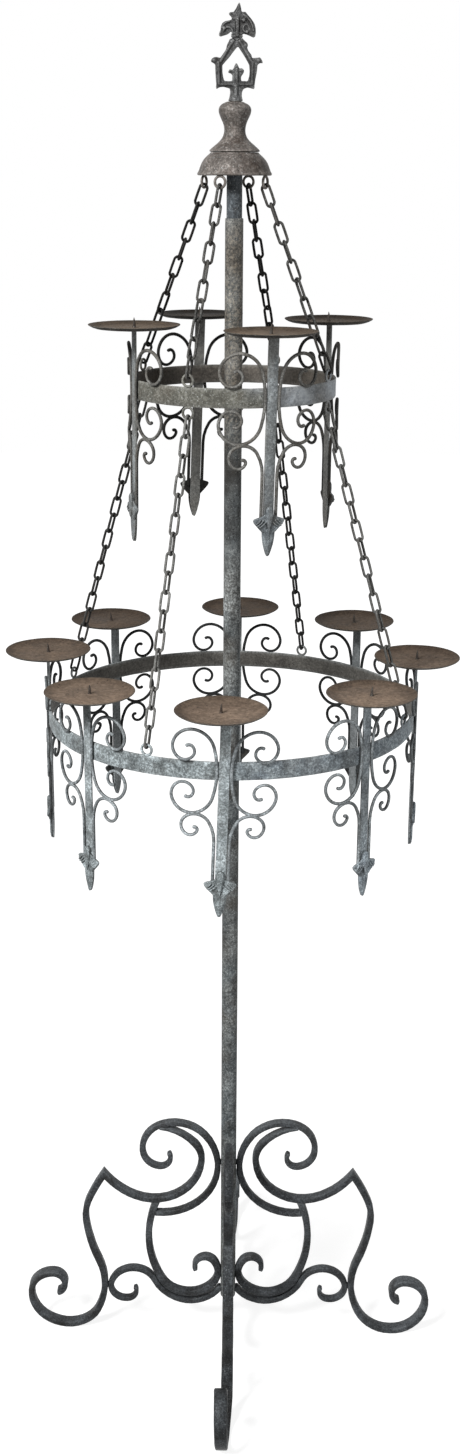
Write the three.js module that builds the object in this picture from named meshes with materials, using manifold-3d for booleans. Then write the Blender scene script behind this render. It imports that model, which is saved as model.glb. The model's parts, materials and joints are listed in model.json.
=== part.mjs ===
// Floor candelabra of forged iron: a tubular post on four scrolled legs carries a telescoping mast.
// A bell canopy on the mast hangs two candle rings on chains, four pans on the upper ring and eight
// on the lower one. Millimetres, +Z up, origin on the floor under the post, front of the part at -Y.
import * as THREE from "three";
import { mergeVertices } from "three/addons/utils/BufferGeometryUtils.js";
import Module from "manifold-3d";

const wasm = await Module();
wasm.setup();

// Clearances
const seatGap = 0.3;
const slideGap = 0.5;
const swingPlay = 0.45;

// Post, mast and clamp screw
const socketRadius = 12.2;
const socketWall = 1.3;
const socketBottom = 66;
const mastShown = 54;
const mastWall = 1.5;
const mastEngagement = 180;
const tubeSides = 16;
const screwRadius = 2.4;
const screwBelowTop = 26;
const screwAzimuth = 13;

// Canopy
const bellRimHeight = 1827;
const bellRimRadius = 49.3;
const bellHeight = 29;
const bellTopRadius = 31.5;
const bellWall = 2.6;
const bellLip = 7.5;
const bellSides = 18;
const balusterHeight = 62;
const balusterFlangeRadius = 33.4;
const balusterNeckRadius = 13.6;
const balusterNeckHeight = 27;
const balusterKnobRadius = 21.4;
const balusterKnobHeight = 51;
const mastInBaluster = 12;
const studRadius = 3.6;
const studLength = 10;

// Finial
const finialThickness = 9;
const finialStemHeight = 17;
const finialFrameHeight = 60;
const finialFrameHalfWidth = 27;
const finialHookHeight = 28;
const finialBarHeight = 8;
const fleurHeight = 42;

// Candle rings
const upperRingRadius = 139.5;
const lowerRingRadius = 264.5;
const bandHeight = 25.4;
const bandThickness = 3;
const bandSides = 40;

// Eyelets
const eyeRadius = 7.4;
const eyeWire = 1.9;
const eyeSides = 8;
const eyeSink = 1.2;
const canopyEyeRadius = 44.5;

// Chains
const linkWire = 1.9;
const linkWidth = 14.8;
const linkWeld = 0.4;
const linkSides = 8;
const upperLinks = 10;
const upperPitch = 25.35;
const lowerLinks = 17;
const lowerPitch = 25.55;
const chainAzimuth = -25;
const chainCount = 4;

// Candle arms
const upperArmCount = 4;
const upperArmAzimuth = 20.7;
const lowerArmCount = 8;
const lowerArmAzimuth = -1.9;
const strapWidth = 14.4;
const strapThickness = 3;
const strapTipLength = 34;
const strapReach = 208.5;
const scrollWire = 2.2;
const scrollDrop = 2;
const commaFoot = 160;
const commaStraight = 63;
const leafHalfWidth = 21.2;
const leafHeight = 36;
const leafDepth = 3.5;
const leafBelowBand = 140;

// Candle pans
const panRadius = 61.3;
const panDepth = 5.6;
const panWall = 1.3;
const panFloorRadius = 52;
const panRimAboveBand = 85.6;
const panSides = 16;
const pricketHeight = 13.5;
const pricketRadius = 2.4;

// Legs
const legCount = 4;
const mainBar = 10.4;
const mainBarWidth = 16;
const topScrollBar = 9.8;
const topScrollBarWidth = 12.5;
const innerBar = 10.8;
const innerBarWidth = 14;
const braceBar = 9.5;
const braceBarWidth = 12;
const barRounding = 0.6;
const curlTip = 0.72;
const footSpread = 0.15;
const footDrift = 10;
const footFlat = 0.5;

// Forged curves. Each bend is [radius, turn in degrees], a turn to the left being positive.
const cScrollBends = [[129, -15], [34, -45], [27.8, -81], [20.9, -102], [12.3, -215]];
const commaBends = [[60, 6], [25, -104], [17, -125], [9, -150]];
const topScrollStart = [95.5, 342];
const topScrollHeading = 240.3;
const topScrollBends = [[16.1, 129], [30.7, 68], [46, 85], [63.7, 67], [87.9, 91], [91.8, 46]];
const shoulderStart = [110, 390];
const shoulderHeading = 185.3;
const shoulderBends = [[83.4, 45], [44.1, 43], [76.9, 110], [116.5, 32]];
const limbHeading = 303.4;
const limbBends = [[290.4, -11], [75.2, -28], [271.3, -17]];
const footBends = [[118.1, 49], [58.4, 160], [35.4, 86], [20.1, 128], [11.7, 38]];
const innerStart = [116.1, 253.9];
const innerHeading = 293;
const innerBends = [[173.3, -51.6], [50.9, -112], [35.3, -77], [17.2, -165]];
const braceStart = [12.8, 87];
const braceHeading = 303.5;
const braceBends = [[58.7, 82], [71.2, 40], [38, -142], [24.7, -118], [14.8, -102]];

const scrollStep = 54;
const legStep = 28;

const radians = THREE.MathUtils.degToRad;

const finishes = {
  galvanised: { color: 0x777c7b, roughness: 0.62, metalness: 0.75 },
  rusted: { color: 0x6a5a50, roughness: 0.8, metalness: 0.45 },
  patina: { color: 0x6f675f, roughness: 0.6, metalness: 0.65 },
  darkIron: { color: 0x4d5052, roughness: 0.55, metalness: 0.8 },
  charcoal: { color: 0x44494c, roughness: 0.58, metalness: 0.8 },
};

const candelabra = new THREE.Group();
candelabra.name = "floor_candelabra";

// Adds a finished solid to the part under its node name, turned about the post by an azimuth.
function place(name, solid, finish, azimuth = 0) {
  const mesh = new THREE.Mesh(geometryOf(solid), new THREE.MeshStandardMaterial(finishes[finish]));
  mesh.name = name;
  mesh.rotation.z = radians(azimuth);
  candelabra.add(mesh);
}

function solidOf(geometry) {
  const bare = geometry.clone();
  bare.deleteAttribute("normal");
  bare.deleteAttribute("uv");
  const merged = mergeVertices(bare, 1e-4);
  const index = merged.index.array;
  return new wasm.Manifold(new wasm.Mesh({
    numProp: 3,
    vertProperties: new Float32Array(merged.attributes.position.array),
    triVerts: new Uint32Array(index),
  }));
}

function geometryOf(solid) {
  const mesh = solid.getMesh();
  const geometry = new THREE.BufferGeometry();
  geometry.setAttribute("position", new THREE.BufferAttribute(new Float32Array(mesh.vertProperties), 3));
  geometry.setIndex(new THREE.BufferAttribute(new Uint32Array(mesh.triVerts), 1));
  geometry.computeVertexNormals();
  return geometry;
}

function joined(solids) {
  return solids.reduce((whole, next) => whole.add(next));
}

// The points of a centre line made of arcs, at most `step` degrees of turn apart.
function bendPoints(start, headingDegrees, bends, step) {
  const points = [new THREE.Vector2(...start)];
  let heading = radians(headingDegrees);
  for (const [radius, turnDegrees] of bends) {
    const turn = radians(turnDegrees);
    const pieces = Math.max(1, Math.ceil(Math.abs(turnDegrees) / step - 0.2));
    const side = Math.sign(turn);
    for (let i = 0; i < pieces; i++) {
      const chord = 2 * radius * Math.sin(Math.abs(turn) / pieces / 2);
      const aim = heading + turn / pieces / 2;
      const last = points[points.length - 1];
      points.push(new THREE.Vector2(last.x + chord * Math.cos(aim), last.y + chord * Math.sin(aim)));
      heading += side * Math.abs(turn) / pieces;
    }
  }
  return points;
}

// A forged bar of six-sided section on a flat centre line drawn in (radius, height), standing in the
// plane of azimuth 90 so that a turn about Z sends it to any leg. The thickness lies in that plane
// and the width across it. form(t) gives the bar's scale of thickness and of width and its sideways
// drift, t running from 0 to 1 along it, and grow is added all round.
function forgedBar(points, thickness, width, form, grow) {
  const last = points.length - 1;
  const vertices = [];
  const index = [];
  points.forEach((point, i) => {
    const { thin, wide, drift } = form(i / last);
    const before = points[Math.max(i - 1, 0)];
    const after = points[Math.min(i + 1, last)];
    const arriving = point.clone().sub(before).normalize();
    const leaving = after.clone().sub(point).normalize();
    const along = arriving.clone().add(leaving).normalize();
    const mitre = i === 0 || i === last ? 1 : along.dot(leaving);
    const t = (thickness / 2) * thin + grow;
    const w = (width / 2) * wide + grow;
    const flat = w - barRounding * t;
    for (const [u, v] of [[t, flat], [t, -flat], [0, -w], [-t, -flat], [-t, flat], [0, w]]) {
      vertices.push(point.x - (along.y * u) / mitre, v + drift, point.y + (along.x * u) / mitre);
    }
    for (let k = 0; k < 6 && i < last; k++) {
      const [a, b] = [i * 6 + k, i * 6 + ((k + 1) % 6)];
      index.push(a, b, b + 6, a, b + 6, a + 6);
    }
  });
  for (let k = 1; k < 5; k++) index.push(0, k + 1, k, last * 6, last * 6 + k, last * 6 + k + 1);
  const geometry = new THREE.BufferGeometry();
  geometry.setAttribute("position", new THREE.Float32BufferAttribute(vertices, 3));
  geometry.setIndex(index);
  return solidOf(geometry);
}

// A flat shape drawn in (sideways, height) becomes a plate facing -Y, its back face at y = -back.
function facingPlate(shape, back, depth) {
  const geometry = new THREE.ExtrudeGeometry(shape, { depth, bevelEnabled: false });
  geometry.rotateX(Math.PI / 2);
  geometry.translate(0, -back, 0);
  return solidOf(geometry);
}

// A closed profile of [radius, height] pairs turned about Z.
function turned(profile, sides) {
  const points = profile.map(([radius, height]) => new THREE.Vector2(radius, height));
  const geometry = new THREE.LatheGeometry(points, sides);
  geometry.rotateX(Math.PI / 2);
  return solidOf(geometry);
}

function tube(outer, inner, bottom, top, sides) {
  return turned([[inner, bottom], [outer, bottom], [outer, top], [inner, top], [inner, bottom]], sides);
}

function rod(radius, bottom, top, sides) {
  return turned([[0, bottom], [radius, bottom], [radius, top], [0, top]], sides);
}

// Wraps a geometry, drawn flat with its back at y = -radius, round the post's axis.
function wrapped(geometry, radius) {
  const position = geometry.attributes.position;
  for (let i = 0; i < position.count; i++) {
    const angle = position.getX(i) / radius;
    const out = -position.getY(i);
    position.setXY(i, out * Math.sin(angle), -out * Math.cos(angle));
  }
  return geometry;
}

// Half the height of an eyelet's opening, from its centre to the inner face of its wire.
const eyeOpening = (eyeRadius - eyeWire / 2) * Math.cos(Math.PI / eyeSides);

// An eyelet's wire ring, its plane across the radius, centred at a radius and height.
function eyelet(radius, height) {
  const ring = new THREE.TorusGeometry(eyeRadius, eyeWire, 3, eyeSides);
  ring.rotateZ(Math.PI / eyeSides);
  ring.rotateX(Math.PI / 2);
  ring.translate(0, -radius, height);
  return ring;
}

function eyelets(radius, height) {
  return Array.from({ length: chainCount }, (_, i) => {
    const ring = eyelet(radius, height);
    ring.rotateZ(radians(chainAzimuth + (i * 360) / chainCount));
    return solidOf(ring);
  });
}

// Where the rings hang: the chains set the heights. A chain spans from the inner face of one
// eyelet's wire to the inner face of the next one's.
function hangingDrop(links, pitch, topRadius, bottomRadius) {
  const slack = 2 * hookGap(links, pitch, topRadius, bottomRadius) + swingPlay;
  return Math.sqrt((links * pitch - linkWeld - slack) ** 2 - (bottomRadius - topRadius) ** 2);
}

// A leaning link meets the edge of the eyelet's wire first, so it hangs a little clear of the middle.
function hookGap(links, pitch, topRadius, bottomRadius) {
  const wireHalfWidth = eyeWire * Math.sin(Math.PI / 3);
  return seatGap + (wireHalfWidth * (bottomRadius - topRadius)) / (links * pitch);
}

const canopyEyeHeight = bellRimHeight - eyeRadius - eyeWire + eyeSink;
const eyeAboveBand = bandHeight / 2 + eyeRadius + eyeWire - eyeSink;
const upperChainTop = canopyEyeHeight - eyeOpening;
const upperChainBottom = upperChainTop - hangingDrop(upperLinks, upperPitch, canopyEyeRadius, upperRingRadius);
const upperRingHeight = upperChainBottom - eyeOpening - eyeAboveBand;
const lowerChainTop = upperRingHeight - eyeAboveBand - eyeOpening;
const lowerChainBottom = lowerChainTop - hangingDrop(lowerLinks, lowerPitch, upperRingRadius, lowerRingRadius);
const lowerRingHeight = lowerChainBottom - eyeOpening - eyeAboveBand;

// One long link with mitred corners, its plane turned about the link's own length.
function link(reach, turn) {
  const halfWidth = linkWidth / 2 - linkWire;
  const ring = new THREE.TorusGeometry(halfWidth, linkWire, 3, linkSides);
  ring.rotateZ(Math.PI / linkSides);
  const acrossFlats = 1 / Math.cos(Math.PI / linkSides);
  ring.scale(acrossFlats, acrossFlats, 1);
  const position = ring.attributes.position;
  for (let i = 0; i < position.count; i++) {
    position.setY(i, position.getY(i) + Math.sign(position.getY(i)) * (reach - halfWidth));
  }
  ring.rotateX(Math.PI / 2);
  ring.rotateZ(turn);
  return ring;
}

// A chain from one eyelet to the next. Neighbouring links cross at right angles, with a slight
// twist where their number is even, so that both end links cross the wires they hang on.
function chain(links, pitch, topRadius, topHeight, bottomRadius, bottomHeight) {
  const lean = Math.atan2(bottomRadius - topRadius, topHeight - bottomHeight);
  const turnPerLink = (Math.PI / 2) * (links % 2 ? 1 : links / (links - 1));
  const reach = (pitch + linkWire - linkWeld) / 2;
  const hook = hookGap(links, pitch, topRadius, bottomRadius);
  const solids = [];
  for (let i = 0; i < links; i++) {
    const ring = link(reach, Math.PI / 2 + i * turnPerLink);
    ring.translate(0, 0, hook + linkWire / 2 - reach - i * pitch);
    ring.rotateX(-lean);
    ring.translate(0, -topRadius, topHeight);
    solids.push(solidOf(ring));
  }
  return joined(solids);
}

// Post: the socket tube stands on the legs, and the mast slides in it.
const mastRadius = socketRadius - socketWall - slideGap;
const socketTop = bellRimHeight - mastShown;
const bellTopHeight = bellRimHeight + bellHeight;
const balusterBase = bellTopHeight + seatGap;
const mastTop = balusterBase + mastInBaluster - seatGap;
const screwHeight = socketTop - screwBelowTop;

// A rod lying across the post, from one radius to another, on an azimuth.
function crossRod(radius, from, to, height, azimuth) {
  const rodGeometry = new THREE.CylinderGeometry(radius, radius, to - from, 8);
  rodGeometry.translate(0, -(from + to) / 2, 0);
  rodGeometry.rotateZ(radians(azimuth));
  rodGeometry.translate(0, 0, height);
  return solidOf(rodGeometry);
}

function buildPost() {
  const screwHole = crossRod(screwRadius + seatGap, socketRadius - 2 * socketWall, 2 * socketRadius, screwHeight, screwAzimuth);
  const socket = tube(socketRadius, socketRadius - socketWall, socketBottom, socketTop, tubeSides);
  place("socket_tube", socket.subtract(screwHole), "galvanised");
  place("mast_tube", tube(mastRadius, mastRadius - mastWall, socketTop - mastEngagement, mastTop, tubeSides), "galvanised");
  const screw = crossRod(screwRadius, mastRadius + seatGap, socketRadius + seatGap, screwHeight, screwAzimuth);
  place("clamp_screw", screw, "darkIron");
}

function buildCanopy() {
  const rim = bellRimHeight;
  const top = bellTopHeight;
  const outer = [[bellRimRadius, rim], [bellRimRadius - 0.6, rim + 4], [bellRimRadius - 5.5, rim + 15],
    [bellRimRadius - 12.3, rim + 23.5], [bellTopRadius, top]];
  const inner = outer.slice(0, 4).map(([radius, height]) => [radius - bellWall, height]);
  const bore = mastRadius + slideGap;
  const lip = bellRimRadius - bellLip;
  const profile = [...outer, [bore, top], [bore, top - bellWall], [bellTopRadius - 6, top - bellWall],
    ...inner.slice(1).reverse(), [lip, rim + 2.5], [lip, rim], outer[0]];
  const shell = turned(profile, bellSides);
  place("canopy_bell", joined([shell, ...eyelets(canopyEyeRadius, canopyEyeHeight)]), "patina");

  const base = balusterBase;
  const h = balusterHeight;
  const neck = base + balusterNeckHeight;
  const knob = base + balusterKnobHeight;
  const solid = turned([[0, base], [balusterFlangeRadius - 1.5, base], [balusterFlangeRadius, base + 2],
    [balusterFlangeRadius - 4.5, base + 6], [balusterFlangeRadius - 11, base + 12],
    [balusterNeckRadius + 2, neck - 8.5], [balusterNeckRadius, neck], [balusterNeckRadius + 3.2, neck + 11],
    [balusterKnobRadius - 0.6, knob - 4.5], [balusterKnobRadius, knob], [balusterKnobRadius - 2.4, knob + 5],
    [balusterKnobRadius - 8, base + h - 2], [balusterKnobRadius - 12, base + h], [0, base + h]], bellSides);
  const mastBore = rod(bore, base - 1, base + mastInBaluster, tubeSides);
  const studBore = rod(studRadius + seatGap, base + h - studLength - seatGap, base + h + 1, 8);
  place("baluster", solid.subtract(mastBore).subtract(studBore), "patina");
}

// The finial is one flat casting: a stem, an open frame with leaf hooks, a small fleur inside it
// and a large fleur on top, whose spear leans a little.
function buildFinial() {
  const w = finialFrameHalfWidth;
  const foot = balusterBase + balusterHeight + seatGap;
  const bar = foot + finialStemHeight;
  const hook = bar + finialHookHeight;
  const apex = foot + finialStemHeight + finialFrameHeight;
  const both = (points) => [...points, ...points.map(([x, z]) => [-x, z]).reverse()];
  const shapeOf = (points) => new THREE.Shape(points.map(([x, z]) => new THREE.Vector2(x, z)));
  const frame = shapeOf(both([[7.8, foot], [7, foot + 9], [8.6, bar - 3], [17, bar - 2], [w - 3.5, bar - 4], [w - 2.5, bar + 3],
    [w, bar + 12], [w + 0.3, hook - 3], [w + 6.3, hook], [w + 2, hook + 5.5], [w - 6.5, hook + 4.5],
    [w - 14, apex - 17], [w - 14.5, apex - 10], [6.5, apex - 2], [6, apex + 2]]));
  const hole = new THREE.Path(both([[0.01, apex - 12.5], [9.5, hook + 6], [17.3, hook - 5], [17, bar + 11],
    [13, bar + finialBarHeight - 3]]).map(([x, z]) => new THREE.Vector2(x, z)));
  frame.holes.push(hole);
  const small = shapeOf(both([[4, bar + 1], [3.8, bar + 10.5], [8.8, bar + 12], [9.8, bar + 16.5], [3.5, bar + 19], [0.01, bar + 26]]));
  const top = apex;
  const fleur = shapeOf([[6, top], [12, top + 4], [24.5, top - 1], [26, top + 9], [21.5, top + 19], [13.5, top + 28.5],
    [8, top + 29], [4, top + fleurHeight], [-1.7, top + 30], [-9.3, top + 27.5], [-4, top + 20], [-13, top + 18.5],
    [-18.8, top + 13], [-20.6, top + 1], [-10, top + 4], [-6, top]]);
  const plates = [frame, small, fleur].map((shape) => facingPlate(shape, -finialThickness / 2, finialThickness));
  const stud = rod(studRadius, foot - seatGap - studLength, foot + 2, 8);
  place("finial", joined([...plates, stud]), "darkIron");
}

// The band is drawn with a flat facet under every strap.
function buildRing(name, radius, height, strapAzimuth, eyesBelow) {
  const half = bandHeight / 2;
  const facets = tube(radius + bandThickness / 2, radius - bandThickness / 2, height - half, height + half, bandSides);
  const band = facets.rotate([0, 0, strapAzimuth + 180 / bandSides]);
  const rings = eyelets(radius, height + eyeAboveBand);
  if (eyesBelow) rings.push(...eyelets(radius, height - eyeAboveBand));
  place(name, joined([band, ...rings]), "galvanised");
}

// A round-backed wire along a flat centre line drawn in (sideways, height), mirrored by `hand`.
function scrollWireGeometry(points, hand, height, radius) {
  const spots = points.map((point) => new THREE.Vector3(hand * point.x, -radius, height + point.y));
  const curve = new THREE.Curve();
  curve.getPoint = (t) => {
    const at = Math.min(t * (spots.length - 1), spots.length - 1);
    const i = Math.min(Math.floor(at), spots.length - 2);
    return spots[i].clone().lerp(spots[i + 1], at - i);
  };
  curve.getPointAt = curve.getPoint;
  curve.getTangent = (t) => {
    const at = Math.round(t * (spots.length - 1));
    const before = spots[Math.max(at - 1, 0)];
    const after = spots[Math.min(at + 1, spots.length - 1)];
    return after.clone().sub(before).normalize();
  };
  curve.getTangentAt = curve.getTangent;
  const section = new THREE.Shape([0, 120, 240].map((a) => new THREE.Vector2(
    scrollWire * Math.cos(radians(a)), scrollWire * Math.sin(radians(a)))));
  return new THREE.ExtrudeGeometry(section, { steps: spots.length - 1, extrudePath: curve, bevelEnabled: false });
}

function strapBack(ringRadius) {
  return (ringRadius + bandThickness / 2) * Math.cos(Math.PI / bandSides) + seatGap;
}

function armSolid(ringRadius, height) {
  const back = strapBack(ringRadius);
  const wireAt = ringRadius + bandThickness / 2 + seatGap + scrollWire / 2;
  const half = strapWidth / 2;
  const top = height + panRimAboveBand - panDepth - seatGap;
  const tip = height - strapReach;
  const strap = new THREE.Shape([[half, top], [-half, top], [-half, tip + strapTipLength], [-half * 0.75, tip + 16],
    [0, tip], [half * 0.75, tip + 16], [half, tip + strapTipLength]].reverse().map(([x, z]) => new THREE.Vector2(x, z)));
  const leafTop = height - leafBelowBand;
  const leaf = new THREE.Shape([[4, leafTop - 1.5], [5, leafTop - 7], [13.5, leafTop - 14.5], [leafHalfWidth, leafTop - 20],
    [16, leafTop - 28], [8.2, leafTop - leafHeight], [-8.2, leafTop - leafHeight], [-16, leafTop - 28],
    [-leafHalfWidth, leafTop - 20], [-13.5, leafTop - 14.5], [-5, leafTop - 7], [-4, leafTop - 1.5], [0, leafTop],
  ].map(([x, z]) => new THREE.Vector2(x, z)));
  const solids = [facingPlate(strap, back, strapThickness), facingPlate(leaf, back + strapThickness - 0.5, leafDepth)];
  const edge = half + scrollWire * Math.sin(radians(60)) - 0.2;
  const upperHalf = bendPoints([edge, 0], 90, cScrollBends, scrollStep);
  const cScroll = [...upperHalf.slice(1).reverse().map((p) => new THREE.Vector2(p.x, -p.y)), ...upperHalf];
  const commaTop = bendPoints([edge + 1, -commaFoot + commaStraight], 90, commaBends, scrollStep);
  const comma = [new THREE.Vector2(edge + 1, -commaFoot), ...commaTop];
  for (const hand of [-1, 1]) {
    for (const [points, lift] of [[cScroll, -scrollDrop], [comma, 0]]) {
      const wire = scrollWireGeometry(points, hand, height + lift, wireAt);
      solids.push(solidOf(wrapped(wire, wireAt)));
    }
  }
  return joined(solids);
}

function panSolid(ringRadius, height) {
  const floor = height + panRimAboveBand - panDepth;
  const rim = floor + panDepth;
  const pan = turned([[0, floor], [panFloorRadius, floor], [panRadius, rim - 1], [panRadius - 1, rim],
    [panFloorRadius - 2, floor + panWall], [pricketRadius, floor + panWall], [0, floor + panWall + pricketHeight]],
  panSides);
  return pan.translate([0, -strapBack(ringRadius) - strapThickness / 2, 0]);
}

function buildTier(tier, ringRadius, height, count, azimuth) {
  buildRing(tier + "_ring", ringRadius, height, azimuth, tier === "upper");
  const arm = armSolid(ringRadius, height);
  const pan = panSolid(ringRadius, height);
  for (let i = 0; i < count; i++) {
    const turn = azimuth + (i * 360) / count;
    place(`${tier}_arm_${i + 1}`, arm, "galvanised", turn);
    place(`${tier}_pan_${i + 1}`, pan, "rusted", turn);
  }
}

function buildChains() {
  const upper = chain(upperLinks, upperPitch, canopyEyeRadius, upperChainTop, upperRingRadius, upperChainBottom);
  const lower = chain(lowerLinks, lowerPitch, upperRingRadius, lowerChainTop, lowerRingRadius, lowerChainBottom);
  for (let i = 0; i < chainCount; i++) {
    const turn = chainAzimuth + (i * 360) / chainCount;
    place(`upper_chain_${i + 1}`, upper, "galvanised", turn);
    place(`lower_chain_${i + 1}`, lower, "galvanised", turn);
  }
}

// One leg is four bars in one upright plane. Where two bars or a bar and the post are welded,
// the later bar is cut to the earlier one's outline, less the seat gap.
function buildLegs() {
  const shoulder = bendPoints(shoulderStart, shoulderHeading, shoulderBends, legStep);
  const limb = bendPoints(shoulder[shoulder.length - 1].toArray(), limbHeading, limbBends, legStep);
  const limbTurn = limbBends.reduce((sum, [, turn]) => sum + turn, 0);
  const foot = bendPoints(limb[limb.length - 1].toArray(), limbHeading + limbTurn, footBends, legStep);
  const mainLine = [...shoulder, ...limb.slice(1), ...foot.slice(1)];
  const footFrom = (mainLine.length - foot.length) / (mainLine.length - 1);
  const lift = mainBar / 2 - footFlat - Math.min(...mainLine.map((p) => p.y));
  const raised = (points) => points.map((p) => new THREE.Vector2(p.x, p.y + lift));
  const curlEnd = (t) => ({ thin: Math.min(1, curlTip + 4 * (1 - t)), wide: 1, drift: 0 });
  const curlStart = (t) => curlEnd(1 - t);
  const mainForm = (t) => {
    const curled = Math.max(0, (t - footFrom) / (1 - footFrom));
    return {
      thin: Math.min(curlStart(t).thin, curlEnd(t).thin),
      wide: 1 + footSpread * curled,
      drift: -footDrift * Math.sin((curled * Math.PI) / 2),
    };
  };
  const members = {
    main_bar: [raised(mainLine), mainBar, mainBarWidth, mainForm],
    top_scroll: [raised(bendPoints(topScrollStart, topScrollHeading, topScrollBends, legStep)),
      topScrollBar, topScrollBarWidth, curlStart],
    inner_curve: [raised(bendPoints(innerStart, innerHeading, innerBends, legStep)), innerBar, innerBarWidth, curlEnd],
    brace: [raised(bendPoints(braceStart, braceHeading, braceBends, legStep)), braceBar, braceBarWidth, curlEnd],
  };
  const bar = (name, grow = 0) => forgedBar(...members[name], grow);
  const post = rod(socketRadius + seatGap, 0, socketTop, tubeSides);
  const reach = Math.max(...mainLine.map((p) => p.x)) + mainBar;
  const slab = new THREE.BoxGeometry(reach, 4 * mainBarWidth, 2 * mainBar).translate(reach / 2, 0, -mainBar);
  const main = bar("main_bar").subtract(bar("top_scroll", seatGap)).subtract(solidOf(slab));
  const inner = bar("inner_curve").subtract(bar("main_bar", seatGap)).subtract(post);
  const topScroll = bar("top_scroll").subtract(bar("inner_curve", seatGap)).subtract(post);
  const brace = bar("brace").subtract(bar("main_bar", seatGap)).subtract(bar("inner_curve", seatGap)).subtract(post);
  for (let i = 0; i < legCount; i++) {
    const turn = -90 + (i * 360) / legCount;
    place(`leg_${i + 1}_main_bar`, main, "charcoal", turn);
    place(`leg_${i + 1}_top_scroll`, topScroll, "charcoal", turn);
    place(`leg_${i + 1}_inner_curve`, inner, "charcoal", turn);
    place(`leg_${i + 1}_brace`, brace, "charcoal", turn);
  }
}

buildPost();
buildCanopy();
buildFinial();
buildTier("upper", upperRingRadius, upperRingHeight, upperArmCount, upperArmAzimuth);
buildTier("lower", lowerRingRadius, lowerRingHeight, lowerArmCount, lowerArmAzimuth);
buildChains();
buildLegs();

export default candelabra;
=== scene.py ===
"""Floor candelabra of forged iron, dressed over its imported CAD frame.

A post on four scrolled legs carries a telescoping mast. A bell canopy with a turned baluster and a
cast finial hangs two candle rings on chains, with scrolled arms and spiked pans. Everything is in
metres in the frame's own axes: +Z up, the front at -Y, the origin on the floor under the post.
"""

import json
import logging
import math
from collections.abc import Callable, Sequence
from dataclasses import dataclass, field, replace
from enum import Enum
from typing import ClassVar

import bmesh
import bpy
from mathutils import Matrix, Vector

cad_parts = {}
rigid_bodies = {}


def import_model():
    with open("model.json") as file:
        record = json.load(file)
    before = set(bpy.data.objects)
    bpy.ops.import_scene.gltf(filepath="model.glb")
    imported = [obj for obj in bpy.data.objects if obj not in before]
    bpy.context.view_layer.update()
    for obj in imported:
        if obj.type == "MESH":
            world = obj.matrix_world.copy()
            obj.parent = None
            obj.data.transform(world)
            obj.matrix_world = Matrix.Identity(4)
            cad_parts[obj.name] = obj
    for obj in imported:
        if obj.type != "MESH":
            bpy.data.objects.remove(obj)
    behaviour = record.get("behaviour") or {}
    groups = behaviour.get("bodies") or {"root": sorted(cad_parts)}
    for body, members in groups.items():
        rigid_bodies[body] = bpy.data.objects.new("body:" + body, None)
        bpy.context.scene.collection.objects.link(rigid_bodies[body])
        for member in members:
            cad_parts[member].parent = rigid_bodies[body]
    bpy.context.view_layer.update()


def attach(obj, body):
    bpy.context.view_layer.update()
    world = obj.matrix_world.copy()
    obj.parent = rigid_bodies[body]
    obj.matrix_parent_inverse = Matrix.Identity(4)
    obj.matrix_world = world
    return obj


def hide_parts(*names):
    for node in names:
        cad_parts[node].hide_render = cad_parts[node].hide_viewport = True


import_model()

# A millimetre, and the distance under which two points are one, both in metres.
MM = 0.001
TOUCHING = 1e-6
LOG = logging.getLogger("candelabra")

Colour = tuple[float, float, float]
Pair = tuple[float, float]
Place = tuple[float, float, float]
Socket = bpy.types.NodeSocket


def linear(red: int, green: int, blue: int) -> Colour:
    """Turns a colour written as 0 to 255 into the linear values that shaders take.

    Args:
        red: Red, 0 to 255.
        green: Green, 0 to 255.
        blue: Blue, 0 to 255.

    Returns:
        The linear colour.
    """
    shares = [channel / 255 for channel in (red, green, blue)]
    return tuple(s / 12.92 if s <= 0.04045 else ((s + 0.055) / 1.055) ** 2.4 for s in shares)


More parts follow.
